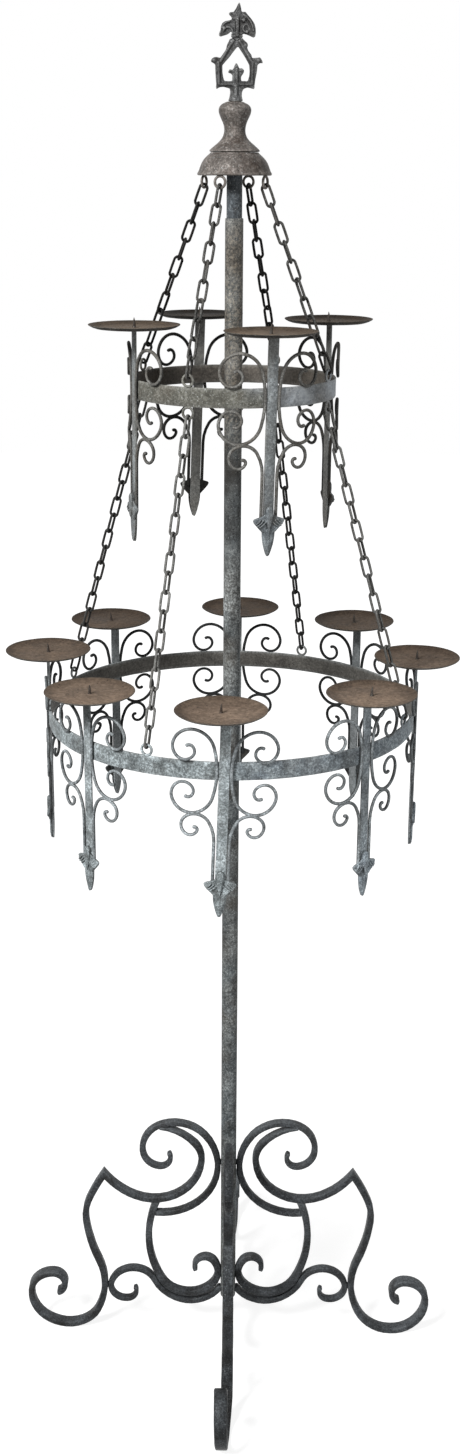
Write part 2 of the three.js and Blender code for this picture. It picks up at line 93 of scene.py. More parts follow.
class Board:
    """Lays out shader nodes in one tree and joins them."""

    MIX_SHARE = 0
    MIX_FIRST = 6
    MIX_SECOND = 7
    MIX_COLOUR = 2

    def __init__(self, tree: bpy.types.NodeTree) -> None:
        """Keeps the tree that the nodes go into."""
        self.tree = tree

    def add(
        self, kind: str, inputs: dict[str | int, object] | None = None, **settings: object,
    ) -> bpy.types.Node:
        """Adds a node and sets it up.

        Args:
            kind: The node's type name without its ShaderNode prefix.
            inputs: A value or another node's output for each named or numbered socket.
            **settings: Properties of the node itself.

        Returns:
            The new node.
        """
        node = self.tree.nodes.new("ShaderNode" + kind)
        for key, value in settings.items():
            setattr(node, key, value)
        for key, value in (inputs or {}).items():
            self.feed(node, key, value)
        return node

    def feed(self, node: bpy.types.Node, key: str | int, value: object) -> None:
        """Joins an output to a socket, or sets the socket's own value.

        Args:
            node: The node that is fed.
            key: The name or number of its socket.
            value: Another node's output, a colour or a number.
        """
        if isinstance(value, Socket):
            self.tree.links.new(value, node.inputs[key])
        elif node.inputs[key].type == "RGBA":
            node.inputs[key].default_value = (*value, 1.0)
        else:
            node.inputs[key].default_value = value

    def math(self, operation: str, first: object, second: object = 0.0) -> Socket:
        """Returns the result of one sum on two values."""
        return self.add("Math", {0: first, 1: second}, operation=operation).outputs[0]

    def spread(
        self, value: Socket, low: object, high: object, to_low: float = 0.0, to_high: float = 1.0,
    ) -> Socket:
        """Stretches a range of a value to another range and clamps it."""
        inputs = {"Value": value, "From Min": low, "From Max": high, "To Min": to_low, "To Max": to_high}
        return self.add("MapRange", inputs).outputs["Result"]

    def blend(self, share: object, first: object, second: object, mode: str = "MIX") -> Socket:
        """Mixes two colours.

        Args:
            share: How much of the second colour there is, 0 to 1.
            first: The first colour.
            second: The second colour.
            mode: The way they mix.

        Returns:
            The mixed colour.
        """
        inputs = {self.MIX_SHARE: share, self.MIX_FIRST: first, self.MIX_SECOND: second}
        return self.add("Mix", inputs, data_type="RGBA", blend_type=mode).outputs[self.MIX_COLOUR]

    def noise(self, point: Socket, scale: object, detail: float, roughness: float = 0.55) -> Socket:
        """Returns a cloud pattern between 0 and 1 at a scale."""
        inputs = {"Vector": point, "Scale": scale, "Detail": detail, "Roughness": roughness}
        return self.add("TexNoise", inputs).outputs["Fac"]


class Effect:
    """Shader node groups that several finishes share, each built once."""

    _made: dict[str, bpy.types.NodeTree] = {}

    @classmethod
    def start(
        cls, name: str, ins: dict[str, str], outs: dict[str, str],
    ) -> tuple[Board, bpy.types.Node, bpy.types.Node]:
        """Starts a node group with its sockets.

        Args:
            name: The group's name.
            ins: Socket type of each named input.
            outs: Socket type of each named output.

        Returns:
            The board, the node that gives the inputs and the node that takes the outputs.
        """
        tree = bpy.data.node_groups.new(name, "ShaderNodeTree")
        for way, sockets in (("INPUT", ins), ("OUTPUT", outs)):
            for label, kind in sockets.items():
                tree.interface.new_socket(label, in_out=way, socket_type="NodeSocket" + kind)
        cls._made[name] = tree
        return Board(tree), tree.nodes.new("NodeGroupInput"), tree.nodes.new("NodeGroupOutput")

    @classmethod
    def place(cls, board: Board, name: str, inputs: dict[str | int, object]) -> bpy.types.Node:
        """Puts a copy of a group into a material, building the group the first time.

        Args:
            board: The material's board.
            name: The group's name, which is also the name of the method that builds it.
            inputs: Values or outputs for its sockets.

        Returns:
            The group's node.
        """
        if name not in cls._made:
            getattr(cls, name)()
        node = board.tree.nodes.new("ShaderNodeGroup")
        node.node_tree = cls._made[name]
        for key, value in inputs.items():
            board.feed(node, key, value)
        return node

    @classmethod
    def mottle(cls) -> None:
        """Builds the weathering pattern: large blotches, fine grains, pale flecks and small dark pits."""
        ins = {"Point": "Vector", "Scale": "Float"}
        outs = {"Blotch": "Float", "Grain": "Float", "Fleck": "Float", "Pit": "Float"}
        board, given, taken = cls.start("mottle", ins, outs)
        point = given.outputs["Point"]
        scale = given.outputs["Scale"]
        blotch = board.noise(point, scale, 8.0, 0.72)
        board.feed(taken, "Blotch", board.spread(blotch, 0.36, 0.64))
        grain = board.noise(point, board.math("MULTIPLY", scale, 9.0), 3.0, 0.7)
        board.feed(taken, "Grain", board.spread(grain, 0.44, 0.62))
        fleck = board.noise(point, board.math("MULTIPLY", scale, 12.0), 2.0, 0.8)
        board.feed(taken, "Fleck", board.spread(fleck, 0.62, 0.68))
        cells = board.add("TexVoronoi", {"Vector": point, "Scale": board.math("MULTIPLY", scale, 6.0)})
        board.feed(taken, "Pit", board.spread(cells.outputs["Distance"], 0.05, 0.2, 1.0, 0.0))

    @classmethod
    def outward(cls) -> None:
        """Builds a mask of how far a face looks away from the post, where the weather reaches it; faces that
        look at the post take the inward colour, partly painted shade.
        """
        ins = {"Point": "Vector", "Normal": "Vector", "Low": "Float", "High": "Float"}
        board, given, taken = cls.start("outward", ins, {"Share": "Float"})
        point, normal, low, high = (given.outputs[name] for name in ins)
        flat = board.add("VectorMath", {0: point, 1: (1.0, 1.0, 0.0)}, operation="MULTIPLY")
        away = board.add("VectorMath", {0: flat.outputs[0]}, operation="NORMALIZE")
        facing = board.add("VectorMath", {0: away.outputs[0], 1: normal}, operation="DOT_PRODUCT")
        board.feed(taken, "Share", board.spread(facing.outputs["Value"], low, high))

    @classmethod
    def upward(cls) -> None:
        """Builds a mask of the faces that look up."""
        board, given, taken = cls.start("upward", {"Normal": "Vector"}, {"Share": "Float"})
        parts = board.add("SeparateXYZ", {0: given.outputs["Normal"]})
        board.feed(taken, "Share", board.spread(parts.outputs["Z"], 0.3, 0.8))

    @classmethod
    def flank(cls) -> None:
        """Builds a mask of a flat casting's sides, the faces that look neither to the front nor back."""
        board, given, taken = cls.start("flank", {"Normal": "Vector"}, {"Share": "Float"})
        parts = board.add("SeparateXYZ", {0: given.outputs["Normal"]})
        facing = board.math("ABSOLUTE", parts.outputs["Y"])
        board.feed(taken, "Share", board.spread(facing, 0.35, 0.9, 1.0, 0.0))

    @classmethod
    def relief(cls) -> None:
        """Builds the height of hammer marks, scale and pitting."""
        ins = {"Point": "Vector", "Scale": "Float"}
        board, given, taken = cls.start("relief", ins, {"Height": "Float"})
        point = given.outputs["Point"]
        scale = given.outputs["Scale"]
        dents = board.noise(point, scale, 2.0, 0.4)
        crust = board.noise(point, board.math("MULTIPLY", scale, 7.0), 4.0, 0.7)
        board.feed(taken, "Height", board.math("ADD", dents, board.math("MULTIPLY", crust, 0.35)))


class Slot(Enum):
    """The record's material slots."""

    WEATHERED = "weathered_grey"
    CHAIN = "chain_iron"
    RUSTED = "rusted_pan"
    PATINA = "patina_iron"
    DARK = "dark_iron"
    CHARCOAL = "charcoal_iron"


@dataclass(frozen=True)
class Patch:
    """A stretch of a piece in another colour: weathering, and on the post a near-black band of painted shadow
    below the upper ring.

    Attributes:
        colour: The colour.
        height: The height of its middle in metres.
        reach: How far it reaches up and down from there, in metres.
        share: How much of the colour there is in the middle.
    """

    colour: Colour
    height: float
    reach: float
    share: float


@dataclass(frozen=True)
class Finish:
    """One weathered iron finish, with painted shade where its settings ask for it.

    Attributes:
        name: The material's name.
        slot: The record's slot that it stands for.
        inward: The colour of faces that look at the post: less weathered iron, and painted shade.
        exposed: The colour of faces that look away from it.
        bloom: The pale bloom on the exposed faces.
        stain: The colour of rust and dirt.
        edge: The colour of worn edges.
        fleck: The colour of the small pale flecks.
        right_tint_and_light: The exposed colour towards +X, where that is another one: a bluer tint, and on
            the upper band also painted light on that side.
        top: The colour of faces that look up, where that is another one.
        patches: Stretches of another colour.
        right_tint_and_light_from: How far towards +X that colour begins, as a share of its pattern.
        bloom_share: How much bloom there is.
        stain_share: How much stain there is.
        edge_share: How bare the edges are worn.
        fleck_share: How strong the flecks are.
        rim_shade: How much darker a pan's rim is than its middle, as painted shade.
        hollow_shade: How much darker the hollows are, as painted shade.
        contrast: How much the tone varies.
        blotch_scale: The blotches in a metre.
        rear_shade: How much darker the rear is than the front, as painted shade.
        rear_reach: How far to the front and the rear that takes, in metres.
        flank_shade: How much darker the sides of a flat casting are, as painted shade.
        weather_from: Where the weather begins and the painted inward shade fades, from -1 facing the post to
            1 facing away.
        weather_full: Where it is at its full.
        metallic: How metallic the surface is.
        roughness: Its mean roughness.
        bump: The strength of its relief.
    """

    name: str
    slot: Slot
    inward: Colour
    exposed: Colour
    bloom: Colour
    stain: Colour
    edge: Colour
    fleck: Colour = linear(186, 190, 189)
    right_tint_and_light: Colour | None = None
    top: Colour | None = None
    patches: tuple[Patch, ...] = ()
    right_tint_and_light_from: float = 0.44
    bloom_share: float = 0.6
    stain_share: float = 0.4
    edge_share: float = 0.4
    fleck_share: float = 0.6
    rim_shade: float = 0.0
    hollow_shade: float = 0.45
    contrast: float = 0.22
    blotch_scale: float = 34.0
    rear_shade: float = 0.0
    rear_reach: float = 0.03
    flank_shade: float = 0.0
    weather_from: float = -0.55
    weather_full: float = 0.75
    metallic: float = 0.1
    roughness: float = 0.55
    bump: float = 0.4

    SPECULAR: ClassVar[float] = 0.08
    RELIEF_SCALE: ClassVar[float] = 75.0
    RELIEF_DEPTH: ClassVar[float] = 0.0015
    GLOSSY_TO_DULL: ClassVar[Pair] = (-0.1, 0.12)
    WORN_EDGE: ClassVar[Pair] = (0.515, 0.58)
    HOLLOW: ClassVar[Pair] = (0.42, 0.495)
    RUST_PATTERN: ClassVar[Pair] = (0.48, 0.62)
    CLOUDED: ClassVar[Pair] = (0.84, 1.16)
    PAN_RIM: ClassVar[Pair] = (0.72, 0.98)
    PIT_DEPTH: ClassVar[float] = 1.6
    RIGHTWARD_RISE: ClassVar[float] = 1.6
    RIGHTWARD_WIDTH: ClassVar[float] = 0.22
    PATCH_WANDER: ClassVar[float] = 0.03
    PATCH_CORE: ClassVar[float] = 0.55

    def material(self) -> bpy.types.Material:
        """Builds the material of this finish.

        Returns:
            A material that reads only object coordinates, normals and pointed edges.
        """
        made = bpy.data.materials.new(self.name)
        made.use_nodes = True
        made.node_tree.nodes.clear()
        board = Board(made.node_tree)
        place = board.add("TexCoord")
        point = place.outputs["Object"]
        normal = place.outputs["Normal"]
        mottle = Effect.place(board, "mottle", {"Point": point, "Scale": self.blotch_scale})
        colour = self._weather(board, point, normal, mottle)
        colour = self._shade(board, point, normal, colour, mottle)
        smooth, dull = (self.roughness + change for change in self.GLOSSY_TO_DULL)
        relief = Effect.place(board, "relief", {"Point": point, "Scale": self.RELIEF_SCALE})
        height = relief.outputs["Height"]
        bump = board.add("Bump", {"Strength": self.bump, "Distance": self.RELIEF_DEPTH, "Height": height})
        shader = board.add("BsdfPrincipled", {
            "Base Color": colour,
            "Metallic": self.metallic,
            "Specular IOR Level": self.SPECULAR,
            "Roughness": board.spread(mottle.outputs["Blotch"], 0.0, 1.0, smooth, dull),
            "Normal": bump.outputs["Normal"],
        })
        board.add("OutputMaterial", {"Surface": shader.outputs["BSDF"]})
        return made

    def _weather(self, board: Board, point: Socket, normal: Socket, mottle: bpy.types.Node) -> Socket:
        """Lays the inward colour, partly painted shade, the pale bloom on weathered faces, rust stains in
        patches, and the colour of upper faces.

        Args:
            board: The material's board.
            point: The place on the piece.
            normal: The way that the face looks.
            mottle: The weathering pattern.

        Returns:
            The colour.
        """
        lies = {"Point": point, "Normal": normal, "Low": self.weather_from, "High": self.weather_full}
        outward = Effect.place(board, "outward", lies).outputs["Share"]
        exposed = self.exposed
        # Towards +X the exposed colour gives way to another: a bluer tint, and on the upper band painted
        # light on its right side.
        if self.right_tint_and_light:
            across = board.add("SeparateXYZ", {0: point}).outputs["X"]
            right = board.math("MULTIPLY", across, self.RIGHTWARD_RISE)
            rightness = board.math("ADD", board.noise(point, 9.0, 3.0), right)
            right_share = board.spread(rightness, self.right_tint_and_light_from, self.right_tint_and_light_from + self.RIGHTWARD_WIDTH)
            exposed = board.blend(right_share, self.exposed, self.right_tint_and_light)
        # Faces that look at the post take the inward colour: less weathered iron, and painted shade.
        colour = board.blend(outward, self.inward, exposed)
        bloom = board.math("MULTIPLY", mottle.outputs["Blotch"], outward)
        grain = board.spread(mottle.outputs["Grain"], 0.0, 1.0, 0.25, 1.0)
        bloom = board.math("MULTIPLY", bloom, board.math("MULTIPLY", grain, self.bloom_share))
        colour = board.blend(bloom, colour, self.bloom)
        fleck = board.math("MULTIPLY", outward, self.fleck_share)
        fleck = board.math("MULTIPLY", mottle.outputs["Fleck"], fleck)
        colour = board.blend(fleck, colour, self.fleck)
        if self.top:
            up = Effect.place(board, "upward", {"Normal": normal}).outputs["Share"]
            colour = board.blend(up, colour, self.top)
        rust = board.spread(board.noise(point, self.blotch_scale * 0.45, 6.0, 0.68), *self.RUST_PATTERN)
        colour = board.blend(board.math("MULTIPLY", rust, self.stain_share), colour, self.stain)
        if self.patches:
            colour = self._patch_up(board, point, colour, mottle)
        return colour

    def _patch_up(self, board: Board, point: Socket, colour: Socket, mottle: bpy.types.Node) -> Socket:
        """Lays the stretches of another colour over the rest, with wandering and grainy borders.

        Args:
            board: The material's board.
            point: The place on the piece.
            colour: The colour so far.
            mottle: The weathering pattern.

        Returns:
            The colour with its patches.
        """
        most = self.PATCH_WANDER
        wander = board.spread(board.noise(point, 14.0, 3.0), 0.3, 0.7, -most, most)
        height = board.math("ADD", board.add("SeparateXYZ", {0: point}).outputs["Z"], wander)
        grainy = board.spread(mottle.outputs["Grain"], 0.0, 1.0, 0.3, 1.0)
        for patch in self.patches:
            far = board.math("ABSOLUTE", board.math("SUBTRACT", height, patch.height))
            near = board.spread(far, patch.reach * self.PATCH_CORE, patch.reach, patch.share, 0.0)
            colour = board.blend(board.math("MULTIPLY", near, grainy), colour, patch.colour)
        return colour

    def _shade(
        self, board: Board, point: Socket, normal: Socket, colour: Socket, mottle: bpy.types.Node,
    ) -> Socket:
        """Varies the tone, darkens pits, paints shade into hollows, on the rear, on a pan's rim and on a
        casting's sides, and brightens worn edges.

        Args:
            board: The material's board.
            point: The place on the piece.
            normal: The way that the face looks.
            colour: The colour so far.
            mottle: The weathering pattern.

        Returns:
            The finished colour.
        """
        pointed = board.add("NewGeometry").outputs["Pointiness"]
        worn = board.math("MULTIPLY", board.spread(pointed, *self.WORN_EDGE), self.edge_share)
        colour = board.blend(worn, colour, self.edge)
        blotch = board.math("MULTIPLY", mottle.outputs["Blotch"], 0.55)
        grain = board.math("MULTIPLY", mottle.outputs["Grain"], 0.45)
        mottled = board.math("ADD", blotch, grain)
        tone = board.spread(mottled, 0.0, 1.0, 1 - self.contrast, 1 + self.contrast)
        pit = board.spread(mottle.outputs["Pit"], 0.0, 1.0, 1.0, 1 - self.PIT_DEPTH * self.contrast)
        # Painted shade: hollows, found by pointiness, are darker.
        hollow = board.spread(pointed, *self.HOLLOW, 1 - self.hollow_shade, 1.0)
        # Painted shade: the rear, towards +Y, is darker than the front.
        depth = board.add("SeparateXYZ", {0: point}).outputs["Y"]
        rear = board.spread(depth, -self.rear_reach, self.rear_reach, 1.0, 1 - self.rear_shade)
        cloud = board.spread(board.noise(point, 6.0, 2.0), 0.38, 0.62, *self.CLOUDED)
        factors = [pit, hollow, rear, cloud]
        # Painted shade: a pan's sloping rim is darker than its middle.
        if self.rim_shade:
            out = board.add("Attribute", attribute_name="out").outputs["Fac"]
            factors.append(board.spread(out, *self.PAN_RIM, 1.0, 1 - self.rim_shade))
        # Painted shade: the sides of a flat casting are darker.
        if self.flank_shade:
            flank = Effect.place(board, "flank", {"Normal": normal}).outputs["Share"]
            factors.append(board.spread(flank, 0.0, 1.0, 1.0, 1 - self.flank_shade))
        for factor in factors:
            tone = board.math("MULTIPLY", tone, factor)
        grey = board.add("CombineColor", {0: tone, 1: tone, 2: tone}).outputs[0]
        return board.blend(1.0, colour, grey, "MULTIPLY")


POST = Finish(
    name="weathered post",
    slot=Slot.WEATHERED,
    inward=linear(84, 82, 79),
    exposed=linear(92, 93, 92),
    bloom=linear(142, 147, 147),
    stain=linear(66, 60, 53),
    edge=linear(150, 152, 150),
    right_tint_and_light=linear(82, 90, 94),
    patches=(
        Patch(linear(120, 109, 94), 1.62, 0.2, 0.6),
        # Painted shadow: a near-black band on the post below the upper ring.
        Patch(linear(18, 18, 18), 1.37, 0.105, 0.9),
        Patch(linear(186, 190, 189), 1.27, 0.07, 0.4),
    ),
    stain_share=0.6,
    fleck_share=0.85,
    contrast=0.62,
    bump=0.8,
)
UPPER_BAND = Finish(
    name="weathered upper band",
    slot=Slot.WEATHERED,
    inward=linear(78, 74, 69),
    exposed=linear(88, 87, 80),
    bloom=linear(134, 134, 128),
    stain=linear(86, 78, 68),
    edge=linear(150, 150, 146),
    # This pale colour towards +X is painted light on the band's right side.
    right_tint_and_light=linear(180, 187, 194),
    right_tint_and_light_from=0.52,
    contrast=0.46,
    bump=0.6,
)
# The arms' near-black inward colour is painted shade on their faces that look at the post.
UPPER_ARM = replace(
    UPPER_BAND, name="weathered upper arm", inward=linear(32, 31, 30), exposed=linear(104, 108, 109),
    bloom=linear(152, 158, 160), right_tint_and_light=linear(104, 110, 114), right_tint_and_light_from=0.44)
LOWER_BAND = replace(
    UPPER_BAND, name="weathered lower band", inward=linear(86, 84, 80), exposed=linear(106, 112, 113),
    bloom=linear(192, 203, 207), stain=linear(86, 84, 80), edge=linear(176, 182, 184),
    right_tint_and_light=linear(112, 121, 129), bloom_share=0.8, contrast=0.5)
LOWER_ARM = replace(LOWER_BAND, name="weathered lower arm", inward=linear(36, 36, 36))
# The wires' near-black inward colour and their darker rear are painted shade.
UPPER_WIRE = replace(
    UPPER_ARM, name="weathered upper wire", inward=linear(16, 16, 16), exposed=linear(80, 78, 74),
    bloom=linear(140, 140, 138), right_tint_and_light=None, edge_share=0.2, blotch_scale=60.0, rear_shade=0.75,
    rear_reach=0.12, weather_from=-0.05, weather_full=0.9)
LOWER_WIRE = replace(
    LOWER_ARM, name="weathered lower wire", inward=linear(16, 16, 16), exposed=linear(88, 92, 94),
    bloom=linear(178, 186, 190), right_tint_and_light=None, edge_share=0.3, blotch_scale=60.0, rear_shade=0.75,
    rear_reach=0.22, weather_from=-0.05, weather_full=0.9)
# The leaves' dark hollows are painted shade.
UPPER_LEAF = replace(UPPER_ARM, name="cast upper leaf", hollow_shade=0.7, blotch_scale=70.0)
LOWER_LEAF = replace(LOWER_ARM, name="cast lower leaf", hollow_shade=0.7, blotch_scale=70.0)
# The chains' dark inward colour and their darker rear are painted shade.
CHAIN = Finish(
    name="weathered chain iron",
    slot=Slot.CHAIN,
    inward=linear(34, 34, 33),
    exposed=linear(88, 88, 85),
    bloom=linear(138, 138, 135),
    stain=linear(62, 55, 50),
    edge=linear(130, 130, 128),
    edge_share=0.3,
    contrast=0.5,
    blotch_scale=70.0,
    rear_shade=0.55,
    weather_from=-0.3,
    weather_full=0.8,
)
# The upper chains' near-black inward colour and darker rear are painted shade.
UPPER_CHAIN = replace(
    CHAIN, name="dark chain iron", inward=linear(18, 18, 17), exposed=linear(54, 53, 51),
    bloom=linear(110, 110, 106), edge_share=0.1, rear_shade=0.7)
PAN = Finish(
    name="rusted pan iron",
    slot=Slot.RUSTED,
    inward=linear(84, 80, 74),
    exposed=linear(96, 94, 90),
    bloom=linear(130, 128, 122),
    stain=linear(98, 82, 70),
    edge=linear(136, 130, 122),
    top=linear(120, 104, 90),
    stain_share=0.55,
    contrast=0.48,
    blotch_scale=22.0,
    rear_shade=0.6,
    rear_reach=0.27,
    rim_shade=0.42,
    metallic=0.05,
    roughness=0.68,
)
# A darker copy of the pan finish for the upper tier, with a much darker rear: painted shade.
SHADED_UPPER_PAN = replace(
    PAN, name="rusted upper pan iron with painted shade", inward=linear(56, 52, 48), exposed=linear(84, 80, 76),
    top=linear(112, 98, 84), stain=linear(80, 66, 56), rear_shade=0.93, rear_reach=0.17)
SPIKE = Finish(
    name="burnt spike",
    slot=Slot.RUSTED,
    inward=linear(38, 34, 31),
    exposed=linear(46, 40, 36),
    bloom=linear(90, 84, 78),
    stain=linear(62, 44, 34),
    edge=linear(96, 90, 84),
    blotch_scale=90.0,
)
PATINA = Finish(
    name="brown patina iron",
    slot=Slot.PATINA,
    inward=linear(74, 69, 64),
    exposed=linear(84, 79, 75),
    bloom=linear(154, 147, 142),
    stain=linear(66, 54, 46),
    edge=linear(168, 162, 156),
    stain_share=0.65,
    contrast=0.45,
    blotch_scale=36.0,
    roughness=0.45,
)
MAST = Finish(
    name="dark drawn pipe",
    slot=Slot.DARK,
    inward=linear(62, 65, 67),
    exposed=linear(70, 74, 77),
    bloom=linear(124, 132, 138),
    stain=linear(54, 46, 40),
    edge=linear(120, 124, 126),
    contrast=0.42,
)
# The finial's dark hollows and sides are painted shade.
CASTING = Finish(
    name="dark cast iron",
    slot=Slot.DARK,
    inward=linear(58, 58, 58),
    exposed=linear(66, 66, 66),
    bloom=linear(124, 125, 125),
    stain=linear(44, 40, 37),
    edge=linear(176, 176, 174),
    edge_share=0.6,
    hollow_shade=0.85,
    contrast=0.5,
    blotch_scale=90.0,
    flank_shade=0.78,
    roughness=0.42,
)
LEG = Finish(
    name="charcoal forged bar",
    slot=Slot.CHARCOAL,
    inward=linear(72, 75, 78),
    exposed=linear(33, 34, 35),
    bloom=linear(100, 106, 112),
    stain=linear(34, 31, 28),
    edge=linear(146, 151, 154),
    stain_share=0.65,
    bloom_share=0.45,
    edge_share=0.24,
    fleck_share=0.25,
    contrast=0.62,
    blotch_scale=38.0,
    roughness=0.45,
)
# A darker copy of the leg finish for the front leg: painted shade.
SHADED_FRONT_LEG = replace(
    LEG, name="charcoal forged bar with painted shade at the front", inward=linear(54, 56, 58),
    exposed=linear(27, 28, 29), bloom=linear(82, 87, 92), edge_share=0.12)


def spun(degrees: float) -> Matrix:
    """Returns a turn about the upright axis."""
    return Matrix.Rotation(math.radians(degrees), 4, "Z")


def pick_out(piece: bpy.types.Object) -> None:
    """Makes a piece the active object and the only selected one.

    Args:
        piece: The object, while Blender is in object mode.
    """
    bpy.ops.object.select_all(action="DESELECT")
    bpy.context.view_layer.objects.active = piece
    piece.select_set(True)


class Bench:
    """An edit-mode workbench for one piece, whose object keeps its origin at the world's."""

    def __init__(self, name: str, piece: bpy.types.Object | None = None) -> None:
        """Opens a piece for editing by points, a new and empty one where none is given.

        Args:
            name: The name of a new piece.
            piece: A piece that is worked on again.
        """
        if piece is None:
            piece = bpy.data.objects.new(name, bpy.data.meshes.new(name))
            bpy.context.scene.collection.objects.link(piece)
        self.piece = piece
        pick_out(piece)
        bpy.ops.object.mode_set(mode="EDIT")
        bpy.ops.mesh.select_mode(type="VERT")

    def close(self) -> bpy.types.Object:
        """Leaves edit mode and returns the piece."""
        bpy.ops.object.mode_set(mode="OBJECT")
        return self.piece

    def pick(self, test: Callable[[Vector], bool], within: bool = False) -> None:
        """Selects points by their place.

        Args:
            test: Says whether a point at that place is wanted.
            within: Keeps to the points that are selected now.
        """
        mesh = bmesh.from_edit_mesh(self.piece.data)
        self._select(mesh, [v for v in mesh.verts if (v.select or not within) and test(v.co)])

    def held(self) -> set[int]:
        """Returns the numbers of the points that are selected now."""
        return {v.index for v in bmesh.from_edit_mesh(self.piece.data).verts if v.select}

    def hold(self, numbers: set[int]) -> None:
        """Selects the points with these numbers.

        Args:
            numbers: The numbers, as held gave them.
        """
        mesh = bmesh.from_edit_mesh(self.piece.data)
        mesh.verts.ensure_lookup_table()
        self._select(mesh, [mesh.verts[number] for number in numbers])

    def _select(self, mesh: bmesh.types.BMesh, wanted: Sequence[bmesh.types.BMVert]) -> None:
        """Selects some points and nothing else.

        Args:
            mesh: The mesh that is open.
            wanted: Its points.
        """
        bpy.ops.mesh.select_all(action="DESELECT")
        for vert in wanted:
            vert.select = True
        mesh.select_flush_mode()
        bmesh.update_edit_mesh(self.piece.data)

    def trace(self, line: Sequence[Vector]) -> None:
        """Draws a line by extruding one point, and leaves all of it selected.

        Args:
            line: The points that it goes through, in metres.
        """
        bpy.ops.mesh.select_all(action="DESELECT")
        bpy.ops.mesh.primitive_circle_add(vertices=3, radius=MM, location=line[0])
        bpy.ops.mesh.merge(type="CENTER")
        for before, after in zip(line, line[1:]):
            bpy.ops.mesh.extrude_region_move(TRANSFORM_OT_translate={"value": after - before})
        bpy.ops.mesh.select_linked()

    def clean(self) -> None:
        """Merges doubled points and turns all faces outwards."""
        bpy.ops.mesh.select_all(action="SELECT")
        bpy.ops.mesh.remove_doubles(threshold=TOUCHING)
        bpy.ops.mesh.normals_make_consistent(inside=False)

    def face_out(self) -> None:
        """Selects all that hangs together with what is selected, and turns its faces outwards."""
        bpy.ops.mesh.select_linked()
        bpy.ops.mesh.normals_make_consistent(inside=False)

    def turn(self, profile: Sequence[Pair], sides: int, foot: float = 0.0) -> None:
        """Spins a profile once round the upright axis.

        Args:
            profile: Its points as (radius, height) in millimetres.
            sides: The steps that the turn takes.
            foot: The height that the points' heights are counted from.
        """
        self.trace([Vector((radius * MM, 0, (foot + height) * MM)) for radius, height in profile])
        bpy.ops.mesh.spin(steps=sides, angle=math.tau, center=(0, 0, 0), axis=(0, 0, 1))
        self.clean()

    def plate(
        self, outline: Sequence[Pair], back: float, depth: float, rim: float = 0.0, crown: float = 0.0,
        foot: float = 0.0,
    ) -> None:
        """Draws a closed outline facing -Y, fills it and raises it to a plate with a crowned front.

        Args:
            outline: Corners as (sideways, height) in millimetres.
            back: How far in front of the axis the back lies, in millimetres.
            depth: The plate's thickness in millimetres.
            rim: Width of the sloping rim round the front face, in millimetres.
            crown: How far the front face stands proud of the rim, in millimetres.
            foot: The height that the corners' heights are counted from.
        """
        corners = [Vector((x * MM, -back * MM, (foot + z) * MM)) for x, z in outline]
        self.trace([*corners, corners[0]])
        bpy.ops.mesh.remove_doubles(threshold=TOUCHING)
        bpy.ops.mesh.edge_face_add()
        bpy.ops.mesh.extrude_region_move(TRANSFORM_OT_translate={"value": (0, -(depth - crown) * MM, 0)})
        if rim:
            bpy.ops.mesh.inset(thickness=rim * MM, use_even_offset=True)
            bpy.ops.transform.translate(value=(0, -crown * MM, 0))
        self.face_out()

    def rod(self, path: Sequence[tuple[float, float, float, float]], sides: int) -> None:
        """Draws a tapering rod through points by extruding and resizing a round end.

        Args:
            path: For each ring its centre (x, y, z) and its radius, in millimetres, going upwards.
            sides: Sides of the section.
        """
        *centre, radius = path[0]
        bpy.ops.mesh.select_all(action="DESELECT")
        bpy.ops.mesh.primitive_circle_add(
            vertices=sides, radius=radius * MM, fill_type="NGON", location=Vector(centre) * MM)
        for before, after in zip(path, path[1:]):
            step = Vector(after[:3]) - Vector(before[:3])
            bpy.ops.mesh.extrude_region_move(TRANSFORM_OT_translate={"value": step * MM})
            size = after[3] / before[3]
            bpy.ops.transform.resize(value=(size, size, 1), center_override=Vector(after[:3]) * MM)
        self.face_out()

    def ring(self, radius: float, wire: float, place: Sequence[float] = (0.0, 0.0, 0.0)) -> None:
        """Adds a wire ring that faces -Y.

        Args:
            radius: Its radius at the middle of the wire, in millimetres.
            wire: The wire's radius in millimetres.
            place: Its centre in millimetres.
        """
        bpy.ops.mesh.primitive_torus_add(
            location=Vector(place) * MM, rotation=(math.pi / 2, 0, 0), major_radius=radius * MM,
            minor_radius=wire * MM, major_segments=28, minor_segments=10)

    def ball(self, radius: float, place: Sequence[float], **shape: object) -> None:
        """Adds a knob of metal.

        Args:
            radius: Its radius in millimetres.
            place: Its centre in millimetres.
            **shape: Its subdivisions, and its scale where it isn't round.
        """
        bpy.ops.mesh.select_all(action="DESELECT")
        bpy.ops.mesh.primitive_ico_sphere_add(radius=radius * MM, location=Vector(place) * MM, **shape)

    def swing(self, matrix: Matrix) -> None:
        """Turns what is selected, point by point.

        Args:
            matrix: The turn.
        """
        mesh = bmesh.from_edit_mesh(self.piece.data)
        bmesh.ops.transform(mesh, matrix=matrix, verts=[v for v in mesh.verts if v.select])
        bmesh.update_edit_mesh(self.piece.data)


